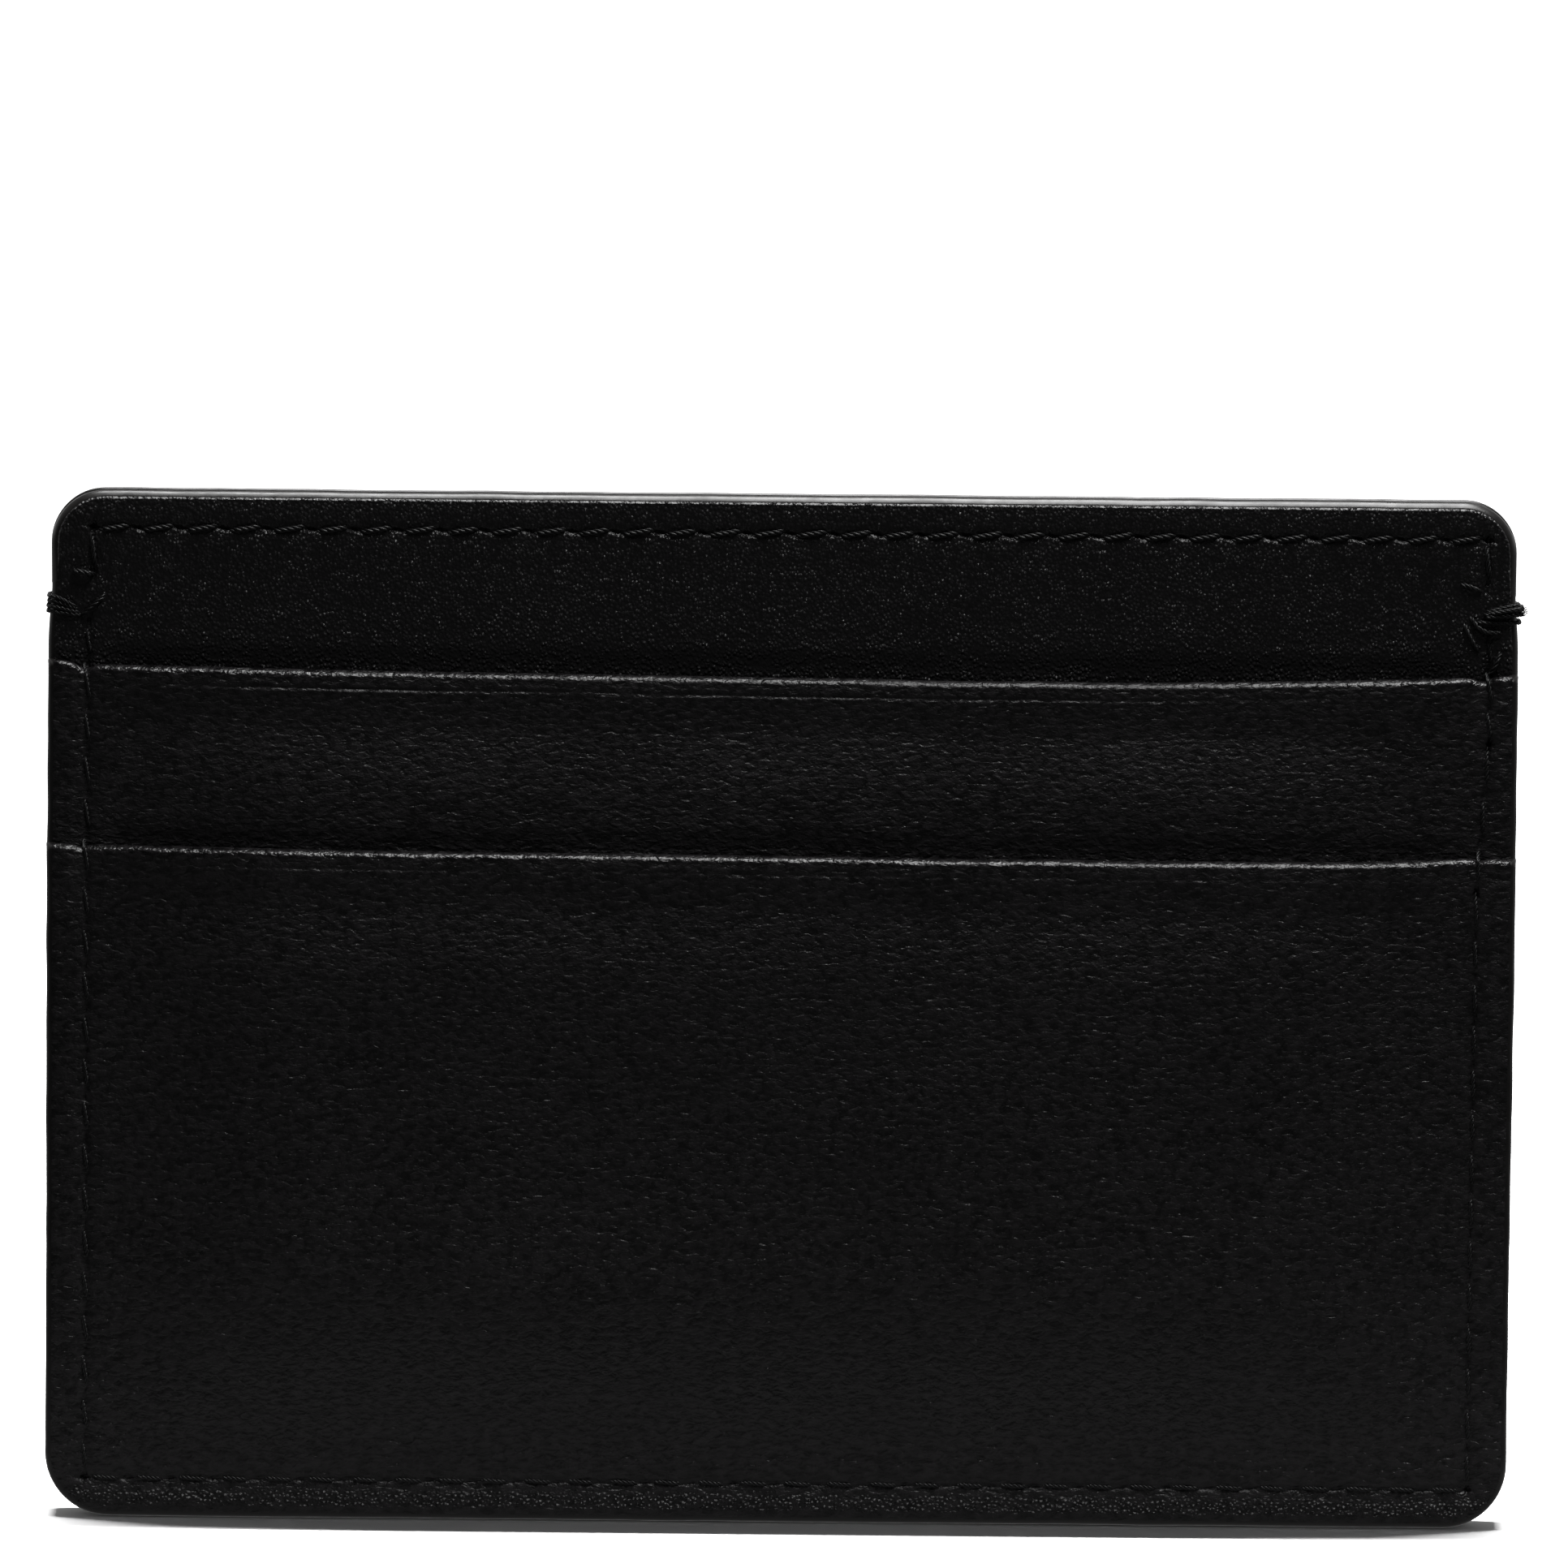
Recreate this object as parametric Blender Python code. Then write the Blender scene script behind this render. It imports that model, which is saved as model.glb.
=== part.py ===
"""A slim leather card holder: two card slots in front, a centre pocket open at the top, a plain back.

It stands on its bottom edge. +X is the width, +Z the height, and the slots face -Y.
The plies are flat sheets with room for a card between them. Metres throughout.
"""

import math

import bmesh
import bpy
from mathutils import Vector

MM = 0.001

# The whole holder.
WIDTH = 100.0 * MM
HEIGHT = 70.5 * MM
TOP_CORNER = 3.6 * MM
BOTTOM_CORNER = 4.4 * MM
CORNER_STEPS = 6

# Room left between the sheets.
GLUE = 0.05 * MM
CARD_SLOT = 0.85 * MM
CENTRE_POCKET = 1.0 * MM

# Sheets from the back to the front: name, thickness, and the room in front of it.
PLIES = (
    ("rear_panel", 0.80 * MM, GLUE),
    ("rear_lining", 0.25 * MM, CENTRE_POCKET),
    ("front_lining", 0.25 * MM, GLUE),
    ("front_backing", 0.70 * MM, CARD_SLOT),
    ("upper_pocket_fabric", 0.20 * MM, GLUE),
    ("upper_pocket_face", 0.60 * MM, CARD_SLOT),
    ("lower_pocket", 0.65 * MM, 0.0),
)

# Edge paint: a bead on the cut edges.
PAINT = 0.35 * MM
CUT_EDGE = PAINT + GLUE

# Heights of the pocket mouths and of what lies behind the lower pocket.
UPPER_MOUTH = 58.6 * MM
LOWER_MOUTH = 46.3 * MM
FACE_BOTTOM = 41.7 * MM
FABRIC_TOP = 45.0 * MM
FABRIC_BOTTOM = 15.2 * MM
FABRIC_HALF_WIDTH = 45.5 * MM
HEM_HEIGHT = 3.0 * MM

# Above this line the two halves part, and their lips bend apart on it.
LIP_LINE = 64.2 * MM
LIP_GAP = 0.30 * MM

# Stitching.
SEAM_INSET = 2.7 * MM
LIP_SEAM_INSET = 2.5 * MM
SEAM_TURN = 0.8 * MM
MOUTH_TURN = 0.22 * MM
TURN_STEPS = 3
THREAD_R = 0.15 * MM
BOBBIN_R = 0.10 * MM
GROOVE_CLEARANCE = 0.05 * MM
GROOVE_OVERRUN = 0.15 * MM
THREAD_SIDES = 8
MOUTH_STEP = 0.30 * MM
SEAM_TOP = 61.6 * MM
LIP_SEAM_START = LIP_LINE + 0.6 * MM
JOIN_SEAM = 43.4 * MM
HEM_SEAM = FABRIC_BOTTOM + HEM_HEIGHT / 2

# Tacks: thread wound through the seam and round the side edge.
TACK_HEIGHT = 1.0 * MM
TACK_MIDDLE = 62.9 * MM
TACK_THREAD = 0.35 * MM
TACK_INNER_X = WIDTH / 2 - 3.15 * MM
TACK_ROUND = 0.12 * MM

BOX_MARGIN = 1.0 * MM

BLACK_LEATHER = ("black_leather", (0.012, 0.011, 0.012), 0.45)
GRAINED_LEATHER = ("grained_leather", (0.013, 0.012, 0.013), 0.40)
LINING_CLOTH = ("lining_cloth", (0.016, 0.015, 0.016), 0.85)
EDGE_PAINT = ("edge_paint", (0.020, 0.018, 0.018), 0.35)
THREAD = ("black_thread", (0.018, 0.018, 0.019), 0.55)


def ply_levels():
    """The y of each sheet's back and front, with the stack centred on y = 0."""
    levels = {}
    y = sum(thickness + room for _, thickness, room in PLIES) / 2
    for name, thickness, room in PLIES:
        levels[name] = (y, y - thickness)
        y -= thickness + room
    return levels


LEVELS = ply_levels()
REAR_FACE = LEVELS["rear_panel"][0]
BACKING_FACE = LEVELS["front_backing"][1]
UPPER_FACE = LEVELS["upper_pocket_face"][1]
LOWER_FACE = LEVELS["lower_pocket"][1]


# ---------------------------------------------------------------- scene and materials

def clear_scene():
    for obj in list(bpy.data.objects):
        bpy.data.objects.remove(obj, do_unlink=True)


def material(spec):
    name, colour, roughness = spec
    mat = bpy.data.materials.get(name)
    if mat is None:
        mat = bpy.data.materials.new(name)
        mat.use_nodes = True
        shader = mat.node_tree.nodes["Principled BSDF"]
        shader.inputs["Base Color"].default_value = (*colour, 1.0)
        shader.inputs["Roughness"].default_value = roughness
        shader.inputs["Metallic"].default_value = 0.0
    return mat


def add_object(name, bm, spec=None, parent=None):
    """Turns a bmesh into an object, hung from an empty if it moves."""
    bmesh.ops.recalc_face_normals(bm, faces=bm.faces)
    mesh = bpy.data.meshes.new(name)
    bm.to_mesh(mesh)
    bm.free()
    obj = bpy.data.objects.new(name, mesh)
    bpy.context.scene.collection.objects.link(obj)
    if spec is not None:
        mesh.materials.append(material(spec))
    if parent is not None:
        obj.parent = parent
        obj.matrix_parent_inverse = parent.matrix_world.inverted()
    return obj


def add_hinge(name, y):
    """An empty on a lip's bending line."""
    empty = bpy.data.objects.new(name, None)
    empty.location = (0.0, y, LIP_LINE)
    bpy.context.scene.collection.objects.link(empty)
    bpy.context.view_layer.update()
    return empty


def cut(obj, cutter):
    """Takes a cutter's shape out of an object."""
    cutter.hide_render = True
    cutter.display_type = "WIRE"
    boolean = obj.modifiers.new("cut_" + cutter.name, "BOOLEAN")
    boolean.operation = "DIFFERENCE"
    boolean.solver = "EXACT"
    boolean.object = cutter


# ---------------------------------------------------------------- outlines in the X-Z plane

def corner(x, z, radius, start_angle):
    """A quarter circle about a centre, counter-clockwise; one point if it has no radius."""
    if radius == 0.0:
        return [(x, z)]
    points = []
    for step in range(CORNER_STEPS + 1):
        angle = start_angle + math.pi / 2 * step / CORNER_STEPS
        points.append((x + radius * math.cos(angle), z + radius * math.sin(angle)))
    return points


def sheet_outline(half_width, bottom, top, bottom_radius=0.0, top_radius=0.0):
    """A rectangle with round corners, counter-clockwise from the lower left."""
    left = -half_width
    right = half_width
    points = corner(left + bottom_radius, bottom + bottom_radius, bottom_radius, math.pi)
    points += corner(right - bottom_radius, bottom + bottom_radius, bottom_radius, 1.5 * math.pi)
    points += corner(right - top_radius, top - top_radius, top_radius, 0.0)
    points += corner(left + top_radius, top - top_radius, top_radius, math.pi / 2)
    return points


def extrude_outline(outline, y_back, y_front):
    bm = bmesh.new()
    back = [bm.verts.new((x, y_back, z)) for x, z in outline]
    front = [bm.verts.new((x, y_front, z)) for x, z in outline]
    bm.faces.new(back)
    bm.faces.new(front[::-1])
    for here in range(len(outline)):
        after = (here + 1) % len(outline)
        bm.faces.new((back[here], back[after], front[after], front[here]))
    return bm


def box(name, low, high):
    """A plain block between two corners, for a cutter."""
    bm = bmesh.new()
    bmesh.ops.create_cube(bm, size=1.0)
    for vert in bm.verts:
        for axis in range(3):
            vert.co[axis] = high[axis] if vert.co[axis] > 0 else low[axis]
    return add_object(name, bm)


# ---------------------------------------------------------------- sheets

def add_sheet(name, outline, level, spec, parent=None):
    y_back, y_front = LEVELS[level]
    return add_object(name, extrude_outline(outline, y_back, y_front), spec, parent)


def body_outline(top):
    """A sheet that reaches the bottom edge, square at its top."""
    return sheet_outline(WIDTH / 2 - CUT_EDGE, CUT_EDGE, top, BOTTOM_CORNER - CUT_EDGE)


def lip_outline():
    """The free strip of a sheet above the tacks."""
    return sheet_outline(WIDTH / 2 - CUT_EDGE, LIP_LINE + LIP_GAP / 2, HEIGHT - CUT_EDGE,
                         0.0, TOP_CORNER - CUT_EDGE)


def add_body_sheets():
    below_lip = body_outline(LIP_LINE - LIP_GAP / 2)
    sheets = {
        "rear_panel": add_sheet("rear_panel", below_lip, "rear_panel", BLACK_LEATHER),
        "rear_lining": add_sheet("rear_lining", below_lip, "rear_lining", LINING_CLOTH),
        "front_lining": add_sheet("front_lining", below_lip, "front_lining", LINING_CLOTH),
        "front_backing": add_sheet("front_backing", below_lip, "front_backing", GRAINED_LEATHER),
    }
    face = sheet_outline(WIDTH / 2 - CUT_EDGE, FACE_BOTTOM, UPPER_MOUTH)
    sheets["upper_pocket_face"] = add_sheet("upper_pocket_face", face, "upper_pocket_face", BLACK_LEATHER)
    fabric = sheet_outline(FABRIC_HALF_WIDTH, FABRIC_BOTTOM, FABRIC_TOP)
    sheets["upper_pocket_fabric"] = add_sheet("upper_pocket_fabric", fabric, "upper_pocket_fabric", LINING_CLOTH)
    pocket = body_outline(LOWER_MOUTH)
    sheets["lower_pocket"] = add_sheet("lower_pocket", pocket, "lower_pocket", BLACK_LEATHER)
    return sheets


def add_hem():
    """The fabric's turned end, which closes the upper pocket against the backing."""
    outline = sheet_outline(FABRIC_HALF_WIDTH, FABRIC_BOTTOM, FABRIC_BOTTOM + HEM_HEIGHT)
    y_back = BACKING_FACE - GLUE
    y_front = LEVELS["upper_pocket_fabric"][0] + GLUE
    add_object("upper_pocket_hem", extrude_outline(outline, y_back, y_front), LINING_CLOTH)


def add_lip_sheets(side, leather_level, spec, hinge):
    outline = lip_outline()
    leather = add_sheet(side + "_lip", outline, leather_level, spec, hinge)
    lining = add_sheet(side + "_lip_lining", outline, side + "_lining", LINING_CLOTH, hinge)
    return leather, lining


# ---------------------------------------------------------------- edge paint

def side_paint_outline(side):
    """A bead down one side and round half of the bottom corner."""
    centre_x = WIDTH / 2 - BOTTOM_CORNER
    top = LIP_LINE - LIP_GAP / 2
    outer = [(WIDTH / 2, top)]
    inner = [(WIDTH / 2 - PAINT, top)]
    half = CORNER_STEPS // 2
    for step in range(half + 1):
        angle = -math.pi / 4 * step / half
        across = math.cos(angle)
        up = math.sin(angle)
        outer.append((centre_x + BOTTOM_CORNER * across, BOTTOM_CORNER + BOTTOM_CORNER * up))
        inner.append((centre_x + (BOTTOM_CORNER - PAINT) * across, BOTTOM_CORNER + (BOTTOM_CORNER - PAINT) * up))
    return [(side * x, z) for x, z in outer + inner[::-1]]


def bottom_paint_outline():
    """The bead along the bottom, from the middle of one corner to the middle of the other."""
    centre_x = WIDTH / 2 - BOTTOM_CORNER
    gap_angle = GLUE / BOTTOM_CORNER
    half = CORNER_STEPS // 2
    angles = [-math.pi / 4 - gap_angle - (math.pi / 4 - gap_angle) * step / half for step in range(half + 1)]
    right = [(math.cos(angle), math.sin(angle)) for angle in angles]

    def arc(radius, side):
        return [(side * (centre_x + radius * c), BOTTOM_CORNER + radius * s) for c, s in right]

    outer = arc(BOTTOM_CORNER, 1) + arc(BOTTOM_CORNER, -1)[::-1]
    inner = arc(BOTTOM_CORNER - PAINT, 1) + arc(BOTTOM_CORNER - PAINT, -1)[::-1]
    return outer + inner[::-1]


def lip_paint_outline():
    """An arch over a lip's two sides and its top."""
    outer = sheet_outline(WIDTH / 2, LIP_LINE + LIP_GAP / 2, HEIGHT, 0.0, TOP_CORNER)
    inner = sheet_outline(WIDTH / 2 - PAINT, LIP_LINE + LIP_GAP / 2, HEIGHT - PAINT, 0.0, TOP_CORNER - PAINT)
    return outer[1:] + outer[:1] + inner[:1] + inner[:0:-1]


def mouth_step_cutters():
    """Blocks that step the side beads back where a pocket's leather ends."""
    reach = WIDTH / 2 + BOX_MARGIN
    above = HEIGHT + BOX_MARGIN
    front = LOWER_FACE - BOX_MARGIN
    lower = box("step_above_lower_pocket", (-reach, front, LOWER_MOUTH), (reach, UPPER_FACE, above))
    upper = box("step_above_upper_pocket", (-reach, front, UPPER_MOUTH), (reach, BACKING_FACE, above))
    return lower, upper


def add_body_paint():
    steps = mouth_step_cutters()
    paints = {}
    for name, side in (("left", -1), ("right", 1)):
        bm = extrude_outline(side_paint_outline(side), REAR_FACE, LOWER_FACE)
        paints[name] = add_object("edge_paint_" + name, bm, EDGE_PAINT)
        for step in steps:
            cut(paints[name], step)
    add_object("edge_paint_bottom", extrude_outline(bottom_paint_outline(), REAR_FACE, LOWER_FACE), EDGE_PAINT)
    return paints


def add_lip_paint(side, y_back, y_front, hinge):
    add_object("edge_paint_" + side + "_lip", extrude_outline(lip_paint_outline(), y_back, y_front), EDGE_PAINT, hinge)


# ---------------------------------------------------------------- thread

def rounded_path(points):
    """The same path with each bend turned in a short arc, shorter where it climbs over a mouth."""
    path = [points[0]]
    for before, at, after in zip(points, points[1:], points[2:]):
        shortest = min((before - at).length, (after - at).length)
        turn = SEAM_TURN if shortest > 2 * SEAM_TURN else MOUTH_TURN
        start = at + (before - at).normalized() * turn
        end = at + (after - at).normalized() * turn
        for step in range(TURN_STEPS + 1):
            t = step / TURN_STEPS
            path.append(start * (1 - t) ** 2 + at * 2 * t * (1 - t) + end * t ** 2)
    path.append(points[-1])
    return path


def tube(path, radius):
    """A round tube along a path, its ends closed."""
    bm = bmesh.new()
    rings = []
    side = Vector((0.0, 1.0, 0.0))
    for index, at in enumerate(path):
        before = path[max(index - 1, 0)]
        after = path[min(index + 1, len(path) - 1)]
        along = (after - before).normalized()
        side = side - along * side.dot(along)
        if side.length < 1e-6:
            side = along.orthogonal()
        side.normalize()
        up = along.cross(side)
        ring = []
        for corner_index in range(THREAD_SIDES):
            angle = 2 * math.pi * (corner_index + 0.5) / THREAD_SIDES
            ring.append(bm.verts.new(at + (side * math.cos(angle) + up * math.sin(angle)) * radius))
        rings.append(ring)
    for here, after in zip(rings, rings[1:]):
        for index in range(THREAD_SIDES):
            following = (index + 1) % THREAD_SIDES
            bm.faces.new((here[index], here[following], after[following], after[index]))
    bm.faces.new(rings[0][::-1])
    bm.faces.new(rings[-1])
    return bm


def add_thread(name, points, radius, parent=None):
    add_object(name, tube(rounded_path(points), radius), THREAD, parent)


def add_groove(name, points, radius, sheet, parent=None):
    """Cuts a thread's seat, which runs a little past the thread's two ends."""
    first = points[0] + (points[0] - points[1]).normalized() * GROOVE_OVERRUN
    last = points[-1] + (points[-1] - points[-2]).normalized() * GROOVE_OVERRUN
    path = rounded_path([first] + points[1:-1] + [last])
    cut(sheet, add_object(name, tube(path, radius + GROOVE_CLEARANCE), None, parent))


def add_sunk_thread(name, points, radius, sheet, parent=None):
    """A thread in a groove of its own, on one flat face."""
    add_thread(name, points, radius, parent)
    add_groove(name + "_groove", points, radius, sheet, parent)


def u_path(inset, top, y, bottom):
    """Down the left, along the bottom and up the right, on one flat face."""
    x = WIDTH / 2 - inset
    return [Vector((-x, y, top)), Vector((-x, y, bottom)), Vector((x, y, bottom)), Vector((x, y, top))]


def front_seam_path():
    """The seam round the front, which climbs over each pocket's mouth at both sides."""
    x = WIDTH / 2 - SEAM_INSET
    side = [
        (BACKING_FACE, SEAM_TOP),
        (BACKING_FACE, UPPER_MOUTH + MOUTH_STEP),
        (UPPER_FACE, UPPER_MOUTH + MOUTH_STEP),
        (UPPER_FACE, LOWER_MOUTH + MOUTH_STEP),
        (LOWER_FACE, LOWER_MOUTH + MOUTH_STEP),
        (LOWER_FACE, SEAM_INSET),
    ]
    left = [Vector((-x, y + THREAD_R, z)) for y, z in side]
    right = [Vector((x, y + THREAD_R, z)) for y, z in reversed(side)]
    return left + right


def add_front_seam(sheets):
    add_thread("perimeter_needle_thread", front_seam_path(), THREAD_R)
    pocket_path = u_path(SEAM_INSET, LOWER_MOUTH + BOX_MARGIN, LOWER_FACE + THREAD_R, SEAM_INSET)
    add_groove("lower_pocket_groove", pocket_path, THREAD_R, sheets["lower_pocket"])
    for name, side in (("left", -1), ("right", 1)):
        x = side * (WIDTH / 2 - SEAM_INSET)
        for sheet, y, top, bottom in (("upper_pocket_face", UPPER_FACE, UPPER_MOUTH + BOX_MARGIN, LOWER_MOUTH),
                                      ("front_backing", BACKING_FACE, SEAM_TOP, UPPER_MOUTH)):
            points = [Vector((x, y + THREAD_R, top)), Vector((x, y + THREAD_R, bottom + MOUTH_STEP))]
            add_groove(sheet + "_groove_" + name, points, THREAD_R, sheets[sheet])


def add_body_threads(sheets):
    add_front_seam(sheets)
    rear_path = u_path(SEAM_INSET, SEAM_TOP, REAR_FACE - THREAD_R, SEAM_INSET)
    add_sunk_thread("perimeter_bobbin_thread", rear_path, THREAD_R, sheets["rear_panel"])

    reach = FABRIC_HALF_WIDTH - BOX_MARGIN
    join_y = UPPER_FACE + THREAD_R
    join_path = [Vector((-reach, join_y, JOIN_SEAM)), Vector((reach, join_y, JOIN_SEAM))]
    add_sunk_thread("upper_pocket_join_thread", join_path, THREAD_R, sheets["upper_pocket_face"])
    hem_y = LEVELS["upper_pocket_fabric"][1] - GLUE - THREAD_R
    hem_path = [Vector((-reach, hem_y, HEM_SEAM)), Vector((reach, hem_y, HEM_SEAM))]
    add_thread("upper_pocket_hem_thread", hem_path, THREAD_R)


def add_lip_threads(side, outer_y, inner_y, leather, lining, hinge):
    """The seam near a lip's edge: needle thread outside, bobbin thread half sunk in the lining."""
    top = HEIGHT - LIP_SEAM_INSET
    needle_path = u_path(SEAM_INSET, LIP_SEAM_START, outer_y, top)
    add_sunk_thread(side + "_lip_needle_thread", needle_path, THREAD_R, leather, hinge)
    bobbin_path = u_path(SEAM_INSET, LIP_SEAM_START, inner_y, top)
    add_sunk_thread(side + "_lip_bobbin_thread", bobbin_path, BOBBIN_R, lining, hinge)


# ---------------------------------------------------------------- tacks

def tack_ring(side):
    """A flat band wound from the seam hole to the side edge and back, front and rear."""
    x_in = TACK_INNER_X
    x_out = WIDTH / 2 + GLUE
    y_rear = REAR_FACE - TACK_THREAD
    y_front = BACKING_FACE - GLUE
    low = TACK_MIDDLE - TACK_HEIGHT / 2
    high = TACK_MIDDLE + TACK_HEIGHT / 2

    def loop(grow, radius):
        half_x = (x_out - x_in) / 2 + grow
        half_y = (y_rear - y_front) / 2 + grow
        points = []
        for sx, sy, start in ((-1, -1, math.pi), (1, -1, 1.5 * math.pi), (1, 1, 0.0), (-1, 1, math.pi / 2)):
            for px, py in corner(sx * (half_x - radius), sy * (half_y - radius), radius, start)[::2]:
                points.append((side * ((x_in + x_out) / 2 + px), (y_rear + y_front) / 2 + py))
        return points

    inner = loop(0.0, TACK_ROUND)
    outer = loop(TACK_THREAD, TACK_ROUND + TACK_THREAD)
    bm = bmesh.new()
    rows = []
    for outline, z in ((inner, low), (outer, low), (outer, high), (inner, high)):
        rows.append([bm.verts.new((x, y, z)) for x, y in outline])
    count = len(inner)
    for row in range(4):
        beside = rows[(row + 1) % 4]
        for here in range(count):
            after = (here + 1) % count
            bm.faces.new((rows[row][here], rows[row][after], beside[after], beside[here]))
    return bm


def tack_cutters(name, side):
    """The hole that a tack passes through, and the channel it lies in across the rear."""
    low = TACK_MIDDLE - TACK_HEIGHT / 2 - GROOVE_CLEARANCE
    high = TACK_MIDDLE + TACK_HEIGHT / 2 + GROOVE_CLEARANCE
    x_in = TACK_INNER_X - TACK_THREAD - GROOVE_CLEARANCE
    x_hole = TACK_INNER_X + GROOVE_CLEARANCE
    x_out = WIDTH / 2 + BOX_MARGIN
    y_channel = REAR_FACE - TACK_THREAD - GROOVE_CLEARANCE

    def block(label, x_far, y_near, y_far):
        left, right = sorted((side * x_in, side * x_far))
        return box(label, (left, y_near, low), (right, y_far, high))

    hole = block("tack_hole_" + name, x_hole, BACKING_FACE - BOX_MARGIN, REAR_FACE + BOX_MARGIN)
    channel = block("tack_channel_" + name, x_out, y_channel, REAR_FACE + BOX_MARGIN)
    return hole, channel


def add_tacks(sheets, paints):
    for name, side in (("left", -1), ("right", 1)):
        add_object(name + "_tack", tack_ring(side), THREAD)
        hole, channel = tack_cutters(name, side)
        for pierced in ("rear_lining", "front_lining", "front_backing"):
            cut(sheets[pierced], hole)
        cut(sheets["rear_panel"], channel)
        cut(sheets["rear_panel"], hole)
        cut(paints[name], channel)


# ---------------------------------------------------------------- assembly

def add_lips():
    """The two free lips of the centre pocket, each on its own bending line."""
    for side, leather_level, spec in (("front", "front_backing", GRAINED_LEATHER),
                                      ("rear", "rear_panel", BLACK_LEATHER)):
        leather_ys = LEVELS[leather_level]
        lining_ys = LEVELS[side + "_lining"]
        y_back = max(leather_ys + lining_ys)
        y_front = min(leather_ys + lining_ys)
        hinge = add_hinge(side + "_lip_line", (y_back + y_front) / 2)
        leather, lining = add_lip_sheets(side, leather_level, spec, hinge)
        add_lip_paint(side, y_back, y_front, hinge)
        if side == "front":
            add_lip_threads(side, y_front + THREAD_R, y_back, leather, lining, hinge)
        else:
            add_lip_threads(side, y_back - THREAD_R, y_front, leather, lining, hinge)


def main():
    clear_scene()
    sheets = add_body_sheets()
    add_hem()
    paints = add_body_paint()
    add_body_threads(sheets)
    add_tacks(sheets, paints)
    add_lips()


main()
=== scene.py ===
"""The looks of a slim leather card holder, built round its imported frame.

Lengths here are in millimetres and become metres when a mesh is made.
x runs across the width and z up; y runs from the card slots (low) to the plain back (high).
"""

import math
from collections import namedtuple

import bmesh
import bpy
import numpy as np
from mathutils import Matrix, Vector


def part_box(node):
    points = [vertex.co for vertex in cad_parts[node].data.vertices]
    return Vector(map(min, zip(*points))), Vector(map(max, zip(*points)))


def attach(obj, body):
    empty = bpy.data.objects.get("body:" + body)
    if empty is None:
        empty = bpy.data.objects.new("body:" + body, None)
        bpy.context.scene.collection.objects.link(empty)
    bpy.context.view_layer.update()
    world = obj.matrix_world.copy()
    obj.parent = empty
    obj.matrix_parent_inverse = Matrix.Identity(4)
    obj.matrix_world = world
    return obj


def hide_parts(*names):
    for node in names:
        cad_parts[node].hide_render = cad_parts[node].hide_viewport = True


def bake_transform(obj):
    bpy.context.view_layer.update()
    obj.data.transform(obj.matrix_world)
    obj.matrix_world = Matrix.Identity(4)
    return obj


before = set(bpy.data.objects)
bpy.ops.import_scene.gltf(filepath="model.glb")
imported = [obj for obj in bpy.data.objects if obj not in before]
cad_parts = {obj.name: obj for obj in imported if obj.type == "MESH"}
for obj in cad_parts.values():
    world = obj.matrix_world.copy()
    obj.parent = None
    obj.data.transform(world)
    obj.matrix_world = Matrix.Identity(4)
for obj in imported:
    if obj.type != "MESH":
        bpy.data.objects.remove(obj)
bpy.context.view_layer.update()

MM = 0.001


# ---- sizes read from the frame

def span(node):
    """A CAD node's lowest and highest corner, in millimetres."""
    low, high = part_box(node)
    return np.array(low) / MM, np.array(high) / MM


HALF_WIDTH = span("edge_paint_right")[1][0]
TOP = span("edge_paint_front_lip")[1][2]
SHEET_HALF = span("lower_pocket")[1][0]
BEAD_DEPTH = HALF_WIDTH - SHEET_HALF
SHEET_LOW = span("lower_pocket")[0][2]
SHEET_HIGH = span("front_lip")[1][2]
UPPER_MOUTH = span("upper_pocket_face")[1][2]
FACE_LOW = span("upper_pocket_face")[0][2]
LOWER_MOUTH = span("lower_pocket")[1][2]
SEAM_X = (span("perimeter_needle_thread")[1][0] + span("perimeter_bobbin_thread")[1][0]) / 2 - 0.15
SEAM_LOW, SEAM_HIGH = span("perimeter_needle_thread")[0][2] + 0.15, span("perimeter_needle_thread")[1][2]
LIP_SEAM_LOW = span("front_lip_needle_thread")[0][2]
LIP_SEAM_HIGH = span("front_lip_needle_thread")[1][2] - 0.15
TACK_LOW, TACK_HIGH = span("left_tack")[0][2], span("left_tack")[1][2]
TACK_Z = (TACK_LOW + TACK_HIGH) / 2
LIP_LINE = (span("front_backing")[1][2] + span("front_lip")[0][2]) / 2

# The corners' radii.
TOP_CORNER = 3.6
BOTTOM_CORNER = 4.4
TOP_BEND = TOP_CORNER - BEAD_DEPTH
BOTTOM_BEND = BOTTOM_CORNER - BEAD_DEPTH

# How far from a seam a sheet is still pulled in, and over what height a pocket leans in to its mouth.
SQUEEZE_REACH = 15.0
LEAN_HEIGHT = 9.0

# The right side seam drifts out by this much, between these heights.
SEAM_DRIFT = 0.75
DRIFT_LOW, DRIFT_HIGH = 44.0, 54.0

# Stitches: their pitch, the share of one that dips into each hole, and the thread's radius.
STITCH_PITCH = 3.0
HIDDEN = 0.34
THREAD_R = 0.19

# A seam's channel: how deep and how wide it is, and the swelling beside it.
CHANNEL_DEPTH, CHANNEL_WIDTH = 0.10, 0.32
SWELLING, SWELLING_AT, SWELLING_WIDTH = 0.03, 1.2, 0.5
# A needle hole's slit: its length and its width.
SLIT_LENGTH, SLIT_WIDTH = 0.50, 0.12

# The line pressed in along a mouth: how far below it, how deep, and the ridge under it.
CREASE_BELOW = 1.22
CREASE_DEPTH, CREASE_WIDTH = 0.09, 0.12
RIDGE_HEIGHT, RIDGE_WIDTH = 0.04, 0.14
# How far a pocket bulges just below its mouth, and over what heights.
BELLY = 0.30
BELLY_LOW, BELLY_RISE = 4.4, 3.6
# How far the leather behind a mouth curls in, and over what height.
TUCK_DEPTH, TUCK_HEIGHT = 0.17, 1.7

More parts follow.
